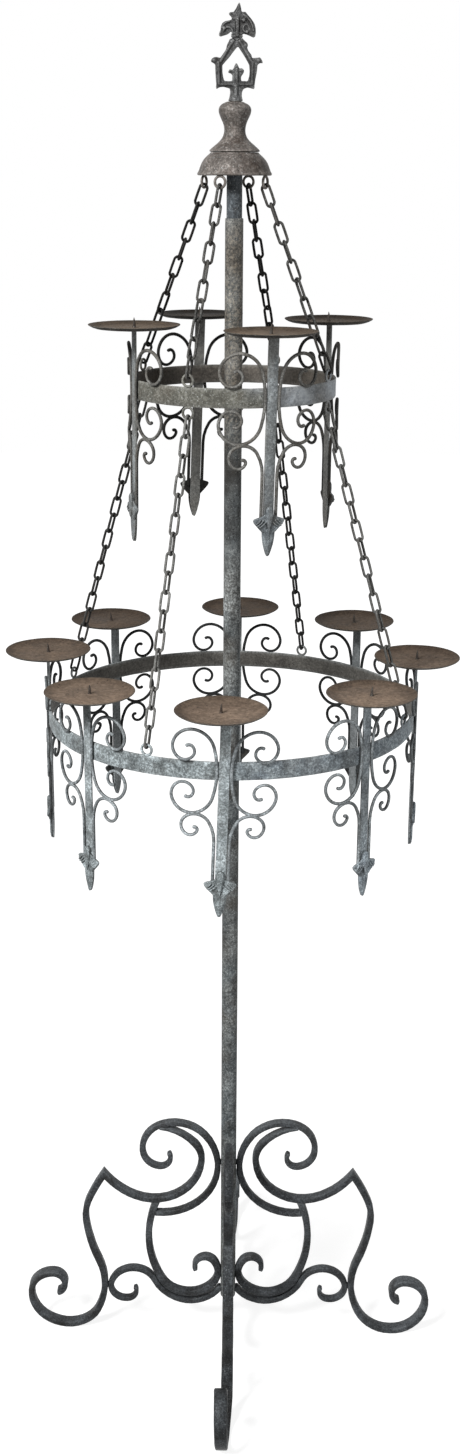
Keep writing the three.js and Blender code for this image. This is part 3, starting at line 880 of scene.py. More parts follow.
@dataclass
class ForgedBar:
    """A bar bent arc by arc from one end, in the upright plane where x is the radius.

    Attributes:
        bench: The workbench that it is drawn on.
        at: The first end's (radius, height) in millimetres.
        heading: The direction it sets off in, in degrees from straight out, turning upwards.
        thickness: Its thickness in the plane, in millimetres.
        width: Its width across the plane, in millimetres.
        corner: The radius of its rounded edges, in millimetres.
        sides: Sides of the section.
        step: The most degrees between two rings.
        chord: The most millimetres between two rings.
        spot: The middle of its growing end, in metres.
        first: The numbers of its first section's points.
        start: The middle of its first end, the heading and the thickness there.
    """

    bench: Bench
    at: Pair
    heading: float
    thickness: float
    width: float
    corner: float
    sides: int = 16
    step: float = 10.0
    chord: float = 14.0
    spot: Vector = field(init=False)
    first: set[int] = field(init=False)
    start: tuple[Vector, float, float] = field(init=False)

    DOME: ClassVar[tuple[Pair, ...]] = ((0.16, 0.86), (0.1, 0.72), (0.04, 0.5))
    DOME_ACROSS: ClassVar[float] = 0.7

    def __post_init__(self) -> None:
        """Draws the first end's section by moving the quarters of a circle apart."""
        self.spot = Vector((self.at[0], 0, self.at[1])) * MM
        lie = Matrix.Rotation(math.radians(90 - self.heading), 3, "Y")
        lie @= Matrix.Rotation(math.pi / self.sides, 3, "Z")
        bpy.ops.mesh.select_all(action="DESELECT")
        bpy.ops.mesh.primitive_circle_add(
            vertices=self.sides, radius=self.corner * MM, location=self.spot, rotation=lie.to_euler())
        self.first = self.bench.held()
        sideways = Vector((0, self.width / 2 - self.corner, 0))
        for shift in (sideways, self._across() * (self.thickness / 2 - self.corner)):
            for side in (-1, 1):
                if shift.length > TOUCHING:
                    self.bench.hold(self.first)
                    self.bench.pick(lambda p, d=shift * side: (p - self.spot).dot(d) > 0, within=True)
                    bpy.ops.transform.translate(value=shift * side * MM)
        self.bench.hold(self.first)
        self.start = (self.spot.copy(), self.heading, self.thickness)

    def _along(self) -> Vector:
        """Returns the direction that the bar heads in now."""
        return Vector((math.cos(math.radians(self.heading)), 0, math.sin(math.radians(self.heading))))

    def _across(self) -> Vector:
        """Returns the direction to the left of the bar, in its plane."""
        return Vector((-math.sin(math.radians(self.heading)), 0, math.cos(math.radians(self.heading))))

    def bend(
        self, radius: float, turn: float, thin: float = 1.0, wide: float = 1.0, drift: float = 0.0,
    ) -> None:
        """Adds one arc, left for a positive turn.

        Args:
            radius: The arc's radius in millimetres.
            turn: The degrees that it turns.
            thin: Thickness at its end as a share of that at its start.
            wide: Width at its end as a share of that at its start.
            drift: How far it wanders sideways, in millimetres.
        """
        by_angle = math.ceil(abs(turn) / self.step - 0.1)
        by_length = math.ceil(abs(math.radians(turn)) * radius / self.chord)
        count = max(1, by_angle, by_length)
        part = turn / count
        for _ in range(count):
            centre = self.spot + self._across() * math.copysign(radius * MM, turn)
            bpy.ops.mesh.spin(
                steps=1, angle=math.radians(part), center=centre, axis=(0, 1, 0), use_auto_merge=False)
            self.heading += part
            self.spot = centre + Matrix.Rotation(-math.radians(part), 3, "Y") @ (self.spot - centre)
            thinner, wider = thin ** (1 / count), wide ** (1 / count)
            if (thinner, wider) != (1.0, 1.0):
                bpy.ops.transform.resize(value=(thinner, wider, thinner), center_override=self.spot)
                self.thickness *= thinner
            if drift:
                bpy.ops.transform.translate(value=(0, drift * MM / count, 0))
                self.spot.y += drift * MM / count

    def go(self, length: float) -> None:
        """Adds a straight stretch.

        Args:
            length: Its length in millimetres.
        """
        step = self._along() * length * MM
        bpy.ops.mesh.extrude_region_move(TRANSFORM_OT_translate={"value": step})
        self.spot += step

    def mitre(self, turn: float, run: float) -> None:
        """Turns a sharp corner, with a straight run before and after it.

        Args:
            turn: The degrees that it turns, left if positive.
            run: The length of each run in millimetres.
        """
        corner = self.spot + self._along() * run * MM
        half = Matrix.Rotation(-math.radians(turn / 2), 3, "Y") @ self._along()
        self.go(2 * run)
        self._cut(corner, half)
        self.heading += turn
        after = corner + self._along() * run * MM
        self.go(3 * run)
        self._cut(after, self._along())
        self.spot = after

    def _cut(self, place: Vector, facing: Vector) -> None:
        """Cuts the last stretch off beyond a plane and leaves the cut selected."""
        bpy.ops.mesh.select_more()
        bpy.ops.mesh.bisect(plane_co=place, plane_no=facing, clear_outer=True)

    def finish(self) -> None:
        """Rounds and closes both ends."""
        self._round_off(self.spot, self.heading, self.thickness)
        self.bench.hold(self.first)
        spot, heading, thickness = self.start
        self._round_off(spot, heading + 180, thickness)
        self.bench.face_out()

    def _round_off(self, spot: Vector, heading: float, thickness: float) -> None:
        """Closes the selected end with a low dome.

        Args:
            spot: The middle of the end, in metres.
            heading: The direction that it looks in, in degrees.
            thickness: The bar's thickness there, in millimetres.
        """
        aim = math.radians(heading)
        along = Vector((math.cos(aim), 0, math.sin(aim))) * thickness * MM
        at = spot.copy()
        for push, size in self.DOME:
            bpy.ops.mesh.extrude_region_move(TRANSFORM_OT_translate={"value": along * push})
            at += along * push
            across = 1 - (1 - size) * self.DOME_ACROSS
            bpy.ops.transform.resize(value=(size, across, size), center_override=at)
        bpy.ops.mesh.edge_face_add()


def apply(piece: bpy.types.Object, kind: str, **settings: object) -> None:
    """Adds a modifier to a piece and applies it.

    Args:
        piece: The object, in object mode.
        kind: The modifier's type.
        **settings: The modifier's properties.
    """
    pick_out(piece)
    modifier = piece.modifiers.new("work", kind)
    for key, value in settings.items():
        setattr(modifier, key, value)
    bpy.ops.object.modifier_apply(modifier=modifier.name)


def hammer(piece: bpy.types.Object, size: float, depth: float) -> None:
    """Gives a piece the uneven surface of hand forging.

    Args:
        piece: The object.
        size: The distance between marks in millimetres.
        depth: How deep they go, in millimetres.
    """
    marks = bpy.data.textures.new("hammer marks", "CLOUDS")
    marks.noise_scale = size * MM
    marks.noise_depth = 1
    strength = 2 * depth * MM
    apply(piece, "DISPLACE", texture=marks, strength=strength, mid_level=0.5, texture_coords="LOCAL")
    bpy.data.textures.remove(marks)


def joined(pieces: Sequence[bpy.types.Object], name: str) -> bpy.types.Object:
    """Joins pieces into the first of them.

    Args:
        pieces: The pieces.
        name: The name of the result.

    Returns:
        The one piece that is left.
    """
    first = pieces[0]
    pick_out(first)
    for piece in pieces:
        piece.select_set(True)
    bpy.ops.object.join()
    first.name = name
    return first


def eased(value: float, begin: float, end: float) -> float:
    """Returns how far a value is from begin to end, held to 0 and 1 and eased at both."""
    share = min(max((value - begin) / (end - begin), 0), 1)
    return share * share * (3 - 2 * share)


def copied(piece: bpy.types.Object, name: str, *moves: Matrix) -> bpy.types.Object:
    """Copies a piece with a mesh of its own.

    Args:
        piece: The piece to copy.
        name: The copy's name.
        *moves: What its mesh is moved by, one after the other.

    Returns:
        The copy.
    """
    copy = piece.copy()
    copy.data = piece.data.copy()
    for move in moves:
        copy.data.transform(move)
    copy.name = name
    bpy.context.scene.collection.objects.link(copy)
    return copy


class Dresser:
    """Gives finished pieces their material and body, hides the CAD node that each replaces, and reports them.
    """

    def __init__(self) -> None:
        """Starts without any material."""
        self.materials: dict[Finish, bpy.types.Material] = {}

    def paint(self, part: bpy.types.Object, finish: Finish) -> None:
        """Gives a part its finish, building the material when it is first needed.

        Args:
            part: The part.
            finish: Its finish.
        """
        if finish not in self.materials:
            self.materials[finish] = finish.material()
        part.data.materials.append(self.materials[finish])

    def hand_over(
        self, piece: bpy.types.Object, node: str, body: str, finish: Finish, smooth: float = 40.0,
    ) -> None:
        """Finishes a piece that stands for a CAD node.

        Args:
            piece: The object.
            node: The CAD node that it replaces.
            body: The body that it rides on.
            finish: Its finish, where no part of it has one yet.
            smooth: The sharpest angle that is shaded smooth, in degrees.
        """
        pick_out(piece)
        bpy.ops.object.shade_smooth_by_angle(angle=math.radians(smooth))
        if not piece.data.materials:
            self.paint(piece, finish)
        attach(piece, body)
        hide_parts(node)
        LOG.info("%s rides on %s: %d faces", piece.name, body, len(piece.data.polygons))


@dataclass
class PostAndMast:
    """The socket pipe, the mast that slides in it, and its clamp screw, in millimetres."""

    pipe_radius: float = 12.2
    pipe_wall: float = 1.3
    pipe_foot: float = 66.0
    pipe_top: float = 1773.0
    mast_radius: float = 10.4
    mast_wall: float = 1.5
    mast_foot: float = 1593.0
    mast_top: float = 1868.0
    screw_radius: float = 2.4
    screw_height: float = 1747.0
    screw_azimuth: float = 13.0
    hollow: Pair = (1.2, 0.6)
    play: float = 0.3
    rows: int = 24
    sides: int = 56

    def build(self, dresser: Dresser) -> None:
        """Makes the three pieces.

        Args:
            dresser: What takes the finished pieces.
        """
        dresser.hand_over(
            self._pipe("socket_pipe", self.pipe_radius, self.pipe_wall, self.pipe_foot, self.pipe_top),
            "socket_tube", "stand", POST)
        dresser.hand_over(
            self._pipe("mast_pipe", self.mast_radius, self.mast_wall, self.mast_foot, self.mast_top),
            "mast_tube", "mast", MAST)
        dresser.hand_over(self._screw(), "clamp_screw", "stand", MAST)

    def _pipe(self, name: str, radius: float, wall: float, foot: float, top: float) -> bpy.types.Object:
        """Spins a pipe with rounded rims.

        Args:
            name: The piece's name.
            radius: The outer radius.
            wall: The wall's thickness.
            foot: The height of its lower end.
            top: The height of its upper end.

        Returns:
            The pipe.
        """
        bench = Bench(name)
        inner = radius - wall
        levels = [foot + (top - foot) * i / self.rows for i in range(1, self.rows)]
        bench.turn([
            (inner, foot), (radius - 0.4, foot), (radius, foot + 0.5), *[(radius, z) for z in levels],
            (radius, top - 0.7), (radius - 0.4, top), (inner + 0.3, top), (inner, top - 0.4), (inner, foot),
        ], self.sides)
        return bench.close()

    def _screw(self) -> bpy.types.Object:
        """Makes a short screw with a rounded rim and a hollow in its head, lying across the pipe.

        Returns:
            The screw.
        """
        bench = Bench("slotted_screw")
        tail = self.mast_radius + self.play
        head = self.pipe_radius + self.play
        r = self.screw_radius
        mouth, depth = self.hollow
        bench.turn([
            (0, tail), (r, tail), (r, head - 0.5), (r - 0.5, head), (mouth, head),
            (mouth - 0.2, head - depth), (0, head - depth),
        ], sides=20)
        bpy.ops.mesh.select_all(action="SELECT")
        bench.swing(Matrix.Rotation(math.pi / 2, 4, "X"))
        bench.swing(spun(self.screw_azimuth))
        bpy.ops.transform.translate(value=(0, 0, self.screw_height * MM))
        return bench.close()


FINIAL_BARS: tuple[Sequence[Pair], ...] = (
    # The foot and its two shoulders.
    [(-9.2, 0), (-7.4, 4), (-6.2, 11), (-7, 15.6), (-15, 17.4), (-20, 17), (-24.2, 14.6), (-25, 17.6),
     (-24, 21), (-15, 24.6), (-8.6, 24.2), (-4.1, 24.4), (4, 25), (8, 24.4), (13.4, 24.6), (24.6, 21),
     (25.4, 17), (24.7, 14.8), (20, 16), (16, 16.8), (10.9, 15), (9, 11), (8.8, 6), (10.4, 0)],
    # The left side, the limb that leans over it, and the hook at their corner.
    [(-24.2, 19), (-25, 26), (-25.6, 36), (-26, 43), (-22, 49), (-17, 45), (-16.5, 42), (-16.4, 35),
     (-15.4, 29), (-13.4, 23)],
    [(-19.8, 51.6), (-15.9, 56.8), (-11.8, 61.8), (-11.2, 66.4), (-9.5, 70.6), (-6.3, 73.6), (-3.6, 76),
     (0, 73), (3.4, 66.5), (-2.4, 59.9), (-7.5, 53.3), (-13.2, 47.3), (-17, 43), (-22, 46)],
    [(-28.1, 52.8), (-24, 53.4), (-18, 51.8), (-19, 46), (-26, 44.5), (-28.7, 46.4), (-31.5, 47.4),
     (-31.2, 50.2)],
    # The same three on the right.
    [(7.6, 76), (9.4, 75.6), (11.7, 73.3), (15.6, 70), (16.4, 67.2), (15.2, 64.8), (17, 60.6), (21, 55.9),
     (22, 49), (18.4, 43), (16.4, 47), (12.5, 53.4), (7.9, 60), (3.4, 66.5), (1, 72)],
    [(25.3, 19), (26.3, 27), (28.2, 36), (28.9, 44), (23, 49), (18.2, 42.5), (18.7, 36.7), (18.3, 30.6),
     (16.4, 25), (14, 22)],
    [(20, 52), (24.8, 52.4), (28.6, 52.6), (31.9, 53.2), (34, 50.6), (36, 46.3), (31.9, 46.4), (28, 43.6),
     (21, 46)],
    # The small fleur that stands inside them.
    [(-3.9, 23), (-3.7, 28.7), (-3.6, 31.6), (-5.6, 33.6), (-9, 34.5), (-9, 36), (-6, 37.4), (-2.9, 38),
     (-1, 42.6), (0.6, 45.7), (1.7, 46.2), (3.4, 43.8), (5.4, 39.4), (8.8, 40), (11.6, 37.5), (11.1, 34.6),
     (8.6, 31.2), (7.6, 29.2), (7.9, 23)],
)
TOP_FLEUR: Sequence[Pair] = [
    (-4, 74), (-3.4, 81.4), (-4.4, 83.9), (-6.4, 83.6), (-8, 81.6), (-11, 80), (-15.3, 78.8), (-18.8, 77.6),
    (-21.4, 79), (-20.7, 82.4), (-19, 85.4), (-18.8, 89.6), (-16.9, 93.9), (-12.9, 96.3), (-7.7, 97),
    (-4.4, 98.4), (-5.4, 101.4), (-8, 103.4), (-8.6, 105.6), (-6.6, 106.8), (-2.6, 107), (0.5, 111),
    (2.9, 115.7), (4.9, 119), (6.3, 115.1), (7.6, 109.4), (7.4, 107), (9, 107.2), (12.8, 107.2),
    (16, 103.6), (20.5, 98.8), (24.4, 93.5), (26, 88.1), (26.3, 82), (25.4, 77.8), (23.2, 76.6),
    (19.3, 78.3), (14.8, 80.2), (10.3, 81.2), (8.6, 80), (8.6, 74),
]
TOP_BLADE: Sequence[Pair] = [
    (1.6, 98.6), (5.6, 100), (7.7, 107), (7, 112), (4.9, 119), (1.2, 111), (-3, 103),
]
# Each rib's (sideways, height), heading, length, turn and thickness.
FINIAL_RIBS = (
    (-20.6, 21, 92, 26, 0, 4.4), (21.6, 21, 88, 26, 0, 4.4), (-19, 48, 57, 30, 0, 4.4),
    (21, 48, 122.5, 29, 0, 4.4), (-19, 20.3, 0, 40, 0, 3.8), (2, 21, 90, 18, 0, 5.0), (1, 3, 90, 15, 0, 6.4),
    (2.4, 79, 89, 20, 0, 5.6), (-5, 78.2, 0, 14, 0, 2.6), (-4, 81.8, 0, 12, 0, 2.2),
    (-15.4, 84.6, 75, 21, -200, 3.2), (-7.4, 96, 186, 14, 62, 2.6), (15.2, 83, 190, 16, -200, 3.0),
    (10.6, 103.6, -26, 24, -62, 3.2), (7.4, 98, -16, 17, -66, 2.8), (3.4, 101.4, 230, 9, -90, 2.6),
    (-2.4, 36.6, 180, 5, -30, 3.0), (6, 37, 0, 4, 30, 3.2),
)
# Each knob's (sideways, height) and radius.
FINIAL_KNOBS = (
    (-26.6, 49, 3.4), (29.6, 49.4, 3.4), (12.6, 67.6, 3.4), (8, 71.6, 2.8), (-5.4, 72.4, 3.0),
    (-20.4, 45.4, 2.8), (21.2, 45.6, 3.0), (-14.6, 87.4, 2.8), (14.8, 83.4, 2.6), (1.8, 96.4, 2.6),
    (10.6, 97.4, 3.2),
)
# The stud's (sideways, height) and radius, from its end in the baluster up through its collar.
FINIAL_STUD = ((0.6, -9.6, 3.2), (0.6, -1, 3.4), (0.6, 0, 8.4), (0.6, 1.6, 7.6), (0.9, 8, 6))


@dataclass
class Canopy:
    """The bell with its eyelets, the turned baluster and the cast finial, in millimetres."""

    rim: float = 1827.0
    bell_height: float = 29.0
    baluster_height: float = 62.0
    eye_radius: float = 7.4
    eye_wire: float = 1.8
    eye_at: float = 44.5
    eye_height: float = 1818.9
    chain_azimuth: float = -25.0
    joint: float = 0.3
    bore: float = 11.2
    bore_depth: float = 12.0
    finial_depth: float = 8.6
    top_fleur_step: float = 2.2
    top_fleur_foot: float = 77.0
    top_rib_sink: float = 1.6
    blade_sink: float = 0.4
    knob_sink: float = 0.6
    voxel: float = 0.75

    def build(self, dresser: Dresser) -> None:
        """Makes the three castings.

        Args:
            dresser: What takes the finished pieces.
        """
        dresser.hand_over(self._bell(), "canopy_bell", "canopy", PATINA)
        dresser.hand_over(self._baluster(), "baluster", "canopy", PATINA)
        dresser.hand_over(self._finial(), "finial", "canopy", CASTING, smooth=60.0)

    def _bell(self) -> bpy.types.Object:
        """Spins the bell with its rolled rim and hangs the eyelets under it.

        Returns:
            The bell with its eyelets.
        """
        bench = Bench("bell_casting")
        bench.turn([
            (41.9, 0), (45, -0.05), (48.6, 0.1), (49.4, 1.2), (49.2, 3), (48, 4.4), (47, 6.5), (45.6, 11),
            (43.6, 15.4), (40.8, 19.6), (37, 23.6), (34, 26), (32.2, 27.6), (31.7, 28.8),
            (30, self.bell_height), (11, self.bell_height), (10.9, 28), (10.9, 26.6), (25.4, 26.4),
            (34.4, 20.8), (40.4, 13), (43, 7), (44, 3.4), (41.9, 2.4), (41.9, 0),
        ], sides=72, foot=self.rim)
        bell = bench.close()
        apply(bell, "SUBSURF", levels=1, render_levels=1)
        hammer(bell, size=22, depth=0.35)
        bench = Bench("bell_eyelets")
        for i in range(4):
            bench.ring(self.eye_radius, self.eye_wire, (0, -self.eye_at, self.eye_height))
            bench.swing(spun(self.chain_azimuth + 90 * i))
        return joined([bell, bench.close()], "bell_casting")

    def _baluster(self) -> bpy.types.Object:
        """Spins the baluster, with its flange, neck and knob and the bore for the mast.

        Returns:
            The baluster.
        """
        foot = self.rim + self.bell_height + self.joint
        bench = Bench("baluster_casting")
        bench.turn([
            (10.9, 0), (30, 0), (33, 0.2), (33.3, 1.6), (32.2, 3), (29.6, 5), (26.8, 7.6), (24.2, 9.6),
            (21.4, 12), (18.4, 14.8), (16, 18), (14.4, 22), (13.7, 27), (14.2, 32), (16, 37), (18.6, 42),
            (20.8, 47), (21.5, 51), (20.9, 54.6), (18.8, 57.6), (15.6, 59.6), (12.6, 60.8), (10.8, 61.6),
            (9, self.baluster_height), (4.1, self.baluster_height), (3.9, 61), (3.9, 52), (0, 51.8),
        ], sides=64, foot=foot)
        baluster = bench.close()
        self._bore(baluster, foot)
        apply(baluster, "SUBSURF", levels=1, render_levels=1)
        hammer(baluster, size=14, depth=0.3)
        return baluster

    def _bore(self, baluster: bpy.types.Object, foot: float) -> None:
        """Deepens the open underside of the baluster into a bore for the mast.

        Args:
            baluster: The baluster.
            foot: The height of its underside.
        """
        bench = Bench(baluster.name, baluster)
        bench.pick(lambda p: math.hypot(p.x, p.y) < self.bore * MM and p.z < (foot + 0.5) * MM)
        bpy.ops.mesh.extrude_region_move(TRANSFORM_OT_translate={"value": (0, 0, self.bore_depth * MM)})
        bpy.ops.mesh.edge_face_add()
        bench.clean()
        bench.close()

    def _finial(self) -> bpy.types.Object:
        """Casts the finial: openwork bars, a small fleur in them, a large one on top, and relief.

        Returns:
            The finial.
        """
        foot = self.rim + self.bell_height + self.joint + self.baluster_height + self.joint
        bench = Bench("finial_casting")
        back = -self.finial_depth / 2
        for outline in FINIAL_BARS:
            bench.plate(outline, back, self.finial_depth, foot=foot)
        step = self.top_fleur_step
        bench.plate(TOP_FLEUR, back + step, self.finial_depth - 2 * step, foot=foot)
        casting = bench.close()
        relief = self._finial_relief(foot)
        stud = Bench("finial_stud")
        stud.rod([(x, 0, foot + z, radius) for x, z, radius in FINIAL_STUD], sides=24)
        whole = joined([casting, relief, stud.close()], "finial_casting")
        apply(whole, "REMESH", mode="VOXEL", voxel_size=self.voxel * MM)
        apply(whole, "SMOOTH", factor=0.5, iterations=5)
        return whole

    def _finial_relief(self, foot: float) -> bpy.types.Object:
        """Adds the curls, ribs and knobs that stand proud of the finial's two faces, and a blade on top.

        Args:
            foot: The height of the finial's foot.

        Returns:
            The relief.
        """
        bench = Bench("finial_relief")
        half = self.finial_depth / 2
        for face in (-1, 1):
            for x, z, heading, length, turn, size in FINIAL_RIBS:
                rib = ForgedBar(bench, (x, foot + z), heading, size, size, size / 2, sides=8, step=16.0)
                if turn:
                    rib.bend(length / math.radians(abs(turn)), turn, thin=0.75, wide=0.75)
                else:
                    rib.go(length)
                rib.finish()
                sunk = self.top_rib_sink if z > self.top_fleur_foot else 0
                bpy.ops.transform.translate(value=(0, face * (half - sunk) * MM, 0))
            for x, z, size in FINIAL_KNOBS:
                bench.ball(size, (x, face * half * self.knob_sink, foot + z), subdivisions=2)
        sunk = self.blade_sink
        bench.plate(
            TOP_BLADE, sunk - half, self.finial_depth - 2 * sunk, rim=1.6, crown=1.2, foot=foot)
        return bench.close()


@dataclass
class Tier:
    """One candle ring with its eyelets, arms and pans, in millimetres.

    Attributes:
        name: The tier's name in the names of its nodes.
        radius: The band's mean radius.
        height: The height of the band's middle.
        arms: How many arms it has.
        azimuth: Where the first arm stands, in degrees from the front.
        eyes_below: Whether the band has eyelets on its lower edge too.
        band_finish: The finish of the band and its eyelets.
        arm_finish: The finish of the arms' straps.
        wire_finish: The finish of their scrolls.
        leaf_finish: The finish of their leaves.
        pan_finish: The finish of the pans.
        leans: How many degrees an arm leans sideways, by its number.
    """

    name: str
    radius: float
    height: float
    arms: int
    azimuth: float
    eyes_below: bool
    band_finish: Finish
    arm_finish: Finish
    wire_finish: Finish
    leaf_finish: Finish
    pan_finish: Finish
    leans: dict[int, float]
    band_height: float = 25.4
    band_thickness: float = 3.0
    band_facets: int = 40
    band_rows: int = 4
    eye_radius: float = 7.4
    eye_wire: float = 1.8
    eye_above: float = 20.8
    chain_azimuth: float = -25.0
    gap: float = 0.3
    strap_width: float = 14.4
    strap_thickness: float = 3.0
    strap_top: float = 79.7
    strap_tip: float = -208.5
    strap_rows: int = 14
    leaf_top: float = -140.0
    leaf_curve: float = 24.0
    leaf_voxel: float = 0.6
    wire: float = 4.6
    wire_gap: float = 3.5
    comma_foot: float = -160.0
    scroll_drop: float = 2.0
    pan_rim: float = 85.6
    pan_depth: float = 5.6
    pan_radius: float = 61.3
    pan_turns: Pair = (-1.0, 1.5)
    spike: float = 13.5

    @property
    def face(self) -> float:
        """Returns how far from the post the band's outer face lies."""
        return (self.radius + self.band_thickness / 2) * math.cos(math.pi / self.band_facets)

    def build(self, dresser: Dresser) -> None:
        """Makes the ring, its arms and its pans.

        Args:
            dresser: What takes the finished pieces.
        """
        body = f"{self.name}_tier"
        dresser.hand_over(self._ring(), f"{self.name}_ring", body, self.band_finish)
        arm = self._arm(dresser)
        pan = self._pan(dresser)
        for i in range(self.arms):
            turn = self.azimuth + i * 360 / self.arms
            node = f"{self.name}_arm_{i + 1}"
            forging = copied(arm, f"{node}_forging", self._lean(self.leans.get(i + 1, 0)), spun(turn))
            dresser.hand_over(forging, node, body, self.arm_finish)
            node = f"{self.name}_pan_{i + 1}"
            dish = copied(pan, f"{node}_dish", spun(turn + self.pan_turns[i % 2]))
            dresser.hand_over(dish, node, body, self.pan_finish)
        bpy.data.objects.remove(arm)
        bpy.data.objects.remove(pan)

    def _lean(self, angle: float) -> Matrix:
        """Tips an arm at the front sideways about its weld to the band.

        Args:
            angle: The degrees, which take the leaf's tip to -X where they are positive.

        Returns:
            The move.
        """
        weld = Vector((0, 0, self.height * MM))
        tip = Matrix.Rotation(math.radians(angle), 4, "Y")
        return Matrix.Translation(weld) @ tip @ Matrix.Translation(-weld)

    def _ring(self) -> bpy.types.Object:
        """Spins the flat band and welds its eyelets on.

        Returns:
            The ring.
        """
        outer = self.face
        inner = outer - self.band_thickness
        half = self.band_height / 2
        h = self.height
        bench = Bench(f"{self.name}_band")
        count = self.band_rows
        rows = [h - half + 1 + (self.band_height - 2) * i / count for i in range(count + 1)]
        bench.turn([
            (inner + 0.5, h - half), (outer - 0.5, h - half), *[(outer, z) for z in rows],
            (outer - 0.5, h + half), (inner + 0.5, h + half), *[(inner, z) for z in reversed(rows)],
            (inner + 0.5, h - half),
        ], sides=200)
        band = bench.close()
        hammer(band, size=24, depth=0.3)
        bench = Bench(f"{self.name}_eyelets")
        levels = [h + self.eye_above] + ([h - self.eye_above] if self.eyes_below else [])
        for i in range(4):
            for level in levels:
                bench.ring(self.eye_radius, self.eye_wire, (0, -self.radius, level))
                bench.swing(spun(self.chain_azimuth + 90 * i))
        return joined([band, bench.close()], f"{self.name}_band")

    def _wire_bar(self, bench: Bench, at: Pair) -> ForgedBar:
        """Starts a round wire that heads up."""
        return ForgedBar(bench, at, 90.0, self.wire, self.wire, self.wire / 2, sides=10, step=11.0)

    def _scrolls(self) -> bpy.types.Object:
        """Bends one C-scroll and one comma scroll beside the strap, then wraps both round the ring.

        Returns:
            The scrolls of both sides.
        """
        edge = self.strap_width / 2 + self.wire / 2 + 0.05
        bench = Bench("c_scroll")
        bar = self._wire_bar(bench, (edge, 0))
        for radius, turn, thin in (
            (128.7, -16, 1), (31.8, -58, 1), (26.9, -90.2, 1), (19, -68.3, 0.95), (14.7, -93, 0.95),
            (10, -78.1, 1.05), (6.3, -80, 1.12),
        ):
            bar.bend(radius, turn, thin=thin, wide=thin)
        bar.finish()
        bench.pick(lambda p: p.z < -10 * TOUCHING)
        bpy.ops.mesh.delete(type="VERT")
        bench.pick(lambda p: abs(p.z) < 10 * TOUCHING)
        bpy.ops.mesh.delete(type="ONLY_FACE")
        scroll = bench.close()
        apply(scroll, "MIRROR", use_axis=(False, False, True), merge_threshold=10 * TOUCHING)
        bench = Bench("comma_scroll")
        bar = self._wire_bar(bench, (edge + 1, self.comma_foot))
        for length in (20, 22, 21):
            bar.go(length)
        for radius, turn, thin in (
            (52.4, -31.7, 1), (21.2, -101.7, 1), (14.9, -97.7, 0.95), (10.6, -108.1, 1), (3.8, -81.1, 1.1),
            (3.6, -50, 1),
        ):
            bar.bend(radius, turn, thin=thin, wide=thin)
        bar.finish()
        pair = joined([scroll, bench.close()], "arm_scrolls")
        bench = Bench(pair.name, pair)
        bpy.ops.mesh.select_all(action="SELECT")
        bpy.ops.mesh.normals_make_consistent(inside=False)
        bench.close()
        apply(pair, "MIRROR", use_axis=(True, False, False), use_mirror_merge=False)
        reach = max(v.co.x for v in pair.data.vertices)
        wrap = self.radius + self.wire_gap
        apply(pair, "SIMPLE_DEFORM", deform_method="BEND", deform_axis="Z", angle=2 * reach / (wrap * MM))
        pair.data.transform(Matrix.Translation(Vector((0, -wrap, self.height - self.scroll_drop)) * MM))
        return pair

    def _arm(self, dresser: Dresser) -> bpy.types.Object:
        """Forges one arm at the front: a strap, its scrolls and the cast leaf at its foot.

        Args:
            dresser: What gives the parts their finishes.

        Returns:
            The arm.
        """
        back = self.face + self.gap
        h = self.height
        half = self.strap_width / 2
        tip = h + self.strap_tip
        bench = Bench("strap")
        straight = self.strap_top - self.strap_tip - 34
        count = self.strap_rows
        side = [(half, h + self.strap_top - i * straight / count) for i in range(count + 1)]
        side += [(half * share, tip + up) for share, up in ((0.96, 27), (0.86, 19), (0.62, 10), (0.3, 3))]
        outline = [*side, (0, tip), *[(-x, z) for x, z in reversed(side)]]
        bench.plate(outline, back, self.strap_thickness, rim=2.2, crown=0.8)
        strap = bench.close()
        hammer(strap, size=18, depth=0.25)
        scrolls = self._scrolls()
        leaf = self._leaf(back + self.strap_thickness - 0.4)
        dresser.paint(strap, self.arm_finish)
        dresser.paint(scrolls, self.wire_finish)
        dresser.paint(leaf, self.leaf_finish)
        return joined([strap, scrolls, leaf], "arm_forging")

    def _leaf(self, back: float) -> bpy.types.Object:
        """Casts the leaf ornament: a bud, two ribbed ears and a tongue over the strap's tip.

        Args:
            back: How far in front of the axis its back lies.

        Returns:
            The leaf.
        """
        top = self.height + self.leaf_top
        tip = self.strap_tip - self.leaf_top
        bench = Bench("leaf")
        for hand in (-1, 1):
            self._ear(bench, hand, top, back)
        bud = [(3.2, -1.4), (5.4, -5), (5.6, -12), (4.4, -20), (2.6, -28)]
        other = [(-x, z) for x, z in reversed(bud)]
        bench.plate([(0, 0), *bud, (0, -36), *other], back, depth=6.6, rim=2.0, crown=1.8, foot=top)
        tongue = [(8.6, -29), (9.4, -36), (8.9, -44), (7.4, -52), (5.2, -59.6), (2.4, tip + 1.6)]
        other = [(-x, z) for x, z in reversed(tongue)]
        bench.plate([*tongue, (0, tip + 0.2), *other], back, depth=3.2, rim=3.4, crown=1.8, foot=top)
        rib = self._rib(bench, (0, top - 36), -90.0, 2.2)
        for _ in range(3):
            rib.go(8)
        self._set_on(rib, back + 2.8)
        leaf = bench.close()
        apply(leaf, "REMESH", mode="VOXEL", voxel_size=self.leaf_voxel * MM)
        apply(leaf, "SMOOTH", factor=0.5, iterations=1)
        return leaf

